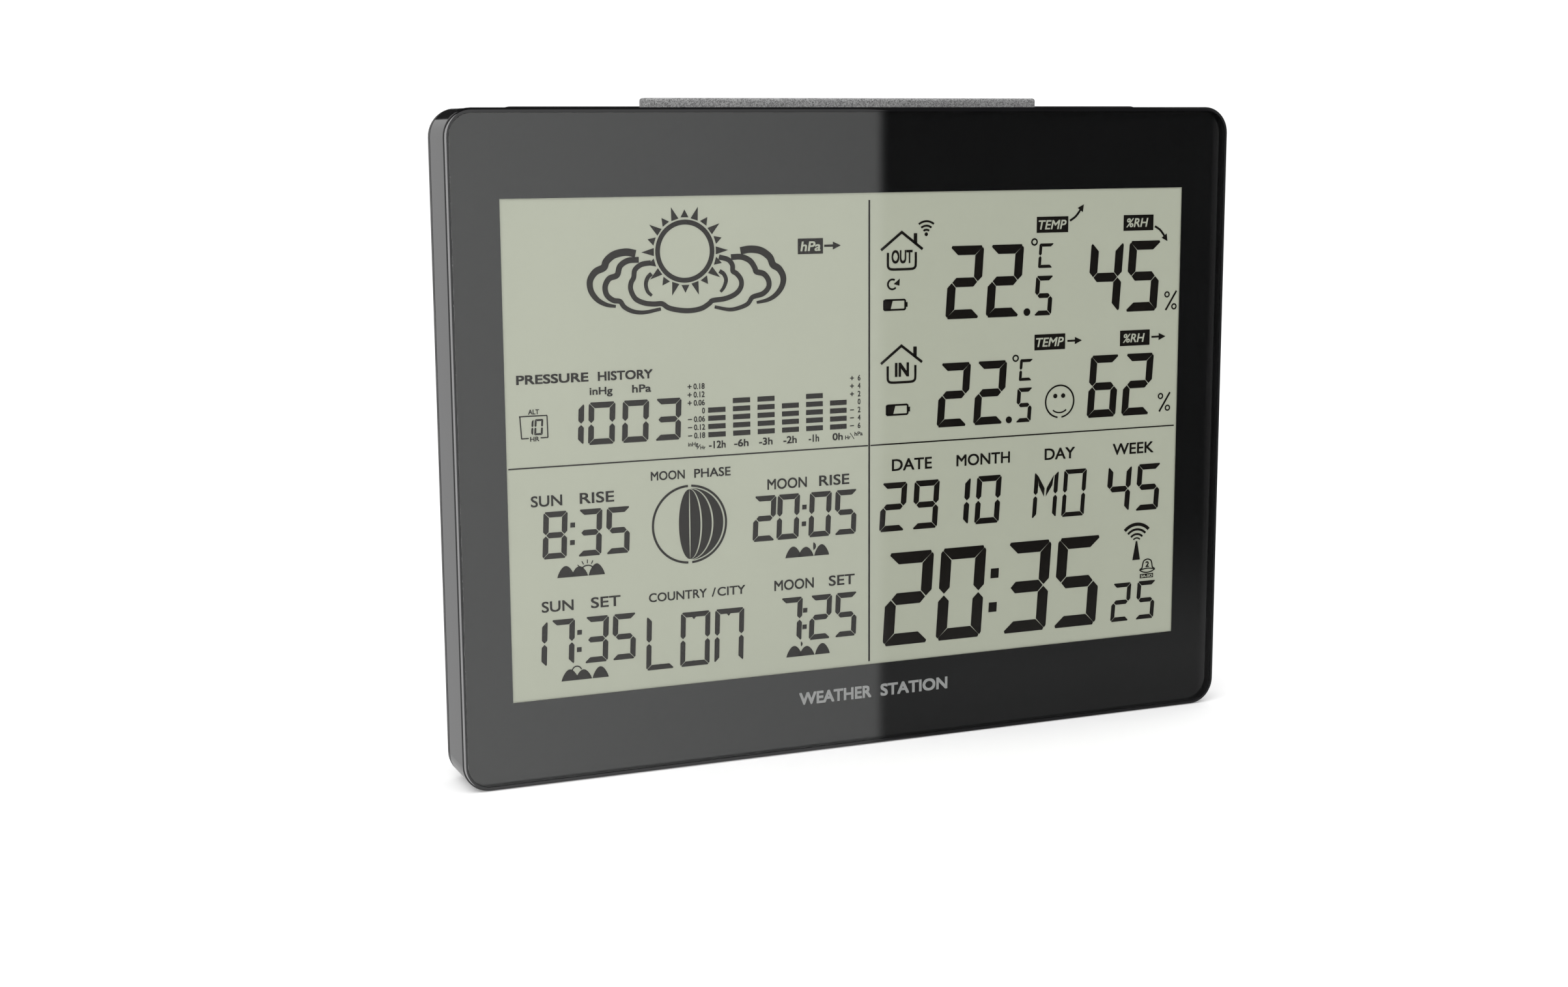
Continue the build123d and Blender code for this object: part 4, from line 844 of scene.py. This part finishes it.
def steps(tree, value, stops, low, high):
    """Brightness that runs through the stops, pairs of place and level, as value goes from low to high."""
    spread = tree.nodes.new("ShaderNodeMapRange")
    spread.inputs["From Min"].default_value = low
    spread.inputs["From Max"].default_value = high
    tree.links.new(value, spread.inputs["Value"])
    curve = tree.nodes.new("ShaderNodeValToRGB")
    ramp = curve.color_ramp
    while len(ramp.elements) < len(stops):
        ramp.elements.new(0.5)
    top = max(level for _, level in stops)
    for element, (place, level) in zip(ramp.elements, stops):
        element.position = (place - low) / (high - low)
        element.color = (level / top, level / top, level / top, 1)
    tree.links.new(spread.outputs["Result"], curve.inputs["Fac"])
    scale = tree.nodes.new("ShaderNodeMath")
    scale.operation = "MULTIPLY"
    scale.inputs[1].default_value = top
    tree.links.new(curve.outputs["Color"], scale.inputs[0])
    return scale.outputs["Value"]


def front_reflection(tree):
    """Very bright strip far left, light up to EDGE, then dark, but lighter low down and at the right end."""
    place = tree.nodes.new("ShaderNodeSeparateXYZ")
    tree.links.new(tree.nodes.new("ShaderNodeTexCoord").outputs["Object"], place.inputs["Vector"])
    left = steps(tree, place.outputs["X"], LEFT_STOPS, CARD_LEFT, 0.05)
    right = steps(tree, place.outputs["Z"], RIGHT_STOPS, -0.02, 0.16)
    edge = steps(tree, place.outputs["X"], RIGHT_END_STOPS, 0.09, CARD_RIGHT)
    both = tree.nodes.new("ShaderNodeMath")
    both.operation = "ADD"
    tree.links.new(right, both.inputs[0])
    tree.links.new(edge, both.inputs[1])
    blend = tree.nodes.new("ShaderNodeMapRange")
    blend.interpolation_type = "SMOOTHSTEP"
    blend.inputs["From Min"].default_value = EDGE - EDGE_SOFT
    blend.inputs["From Max"].default_value = EDGE + EDGE_SOFT
    tree.links.new(place.outputs["X"], blend.inputs["Value"])
    mix = tree.nodes.new("ShaderNodeMix")
    tree.links.new(blend.outputs["Result"], mix.inputs["Factor"])
    tree.links.new(left, mix.inputs["A"])
    tree.links.new(both.outputs["Value"], mix.inputs["B"])
    return mix.outputs["Result"]


def soft_light(name, place, aim, size, power):
    data = bpy.data.lights.new(name, "AREA")
    data.shape = "RECTANGLE"
    data.size, data.size_y = size
    data.energy = power
    light = bpy.data.objects.new(name, data)
    light.location = place
    light.rotation_euler = (Vector(aim) - Vector(place)).to_track_quat("-Z", "Y").to_euler()
    light.visible_glossy = False
    scene.collection.objects.link(light)


WORLD_LIGHT = 1.08
FLOOR_HALF, FLOOR_GREY, FLOOR_GLOW = 4, 0.93, 0.14
CARD_GAP = 0.015  # face to the card that it reflects
CARD_LEFT, CARD_RIGHT = -0.172, 0.112
CARD_FOOT, CARD_OVER = -0.2, 0.053  # foot of the side cards, and how far they stand above the case
EDGE = 0.0115  # where the front card goes from light to dark
EDGE_SOFT = 0.0016
# Brightness of the front card: across its light part, up its dark part, and added at its right end.
LEFT_STOPS = ((-0.170, 8.0), (-0.0992, 8.0), (-0.0978, 1.42), (EDGE, 1.06))
RIGHT_STOPS = (
    (0.0, 0.24), (0.008, 0.27), (0.016, 0.25), (0.024, 0.19), (0.032, 0.12), (0.041, 0.07), (0.052, 0.05),
)
RIGHT_END_STOPS = ((0.101, 0.0), (0.1035, 0.3), (CARD_RIGHT, 0.3))


def studio():
    world = bpy.data.worlds.new("world")
    world.use_nodes = True
    world.node_tree.nodes["Background"].inputs["Color"].default_value = (1, 1, 1, 1)
    world.node_tree.nodes["Background"].inputs["Strength"].default_value = WORLD_LIGHT
    scene.world = world
    corners = [(x * FLOOR_HALF, y * FLOOR_HALF, 0) for x, y in ((-1, -1), (1, -1), (1, 1), (-1, 1))]
    floor = sheet_card("floor", corners, FLOOR_GREY, FLOOR_GLOW)
    floor.visible_glossy = False
    lo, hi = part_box("front_shell")
    y = FACE_Y - CARD_GAP
    upright_card("front_card", (CARD_LEFT, y), (CARD_RIGHT, y), lo.z - 0.03, hi.z + 0.021, front_reflection)
    x = lo.x - 0.012
    upright_card("left_card", (x, FACE_Y), (x, 0.5), CARD_FOOT, hi.z + CARD_OVER, 0.75)
    x = hi.x + 0.018
    upright_card("right_card", (x, -0.15), (x, 0.3), CARD_FOOT, hi.z + CARD_OVER, 0.2)
    level_card("under_card", CARD_FOOT, 0.6)
    level_card("dark_top", hi.z + 0.06, 0.02)
    soft_light("key", (-0.7, -0.5, 1.1), (0, 0, 0.07), (0.9, 0.9), 5)


place_camera()
studio()
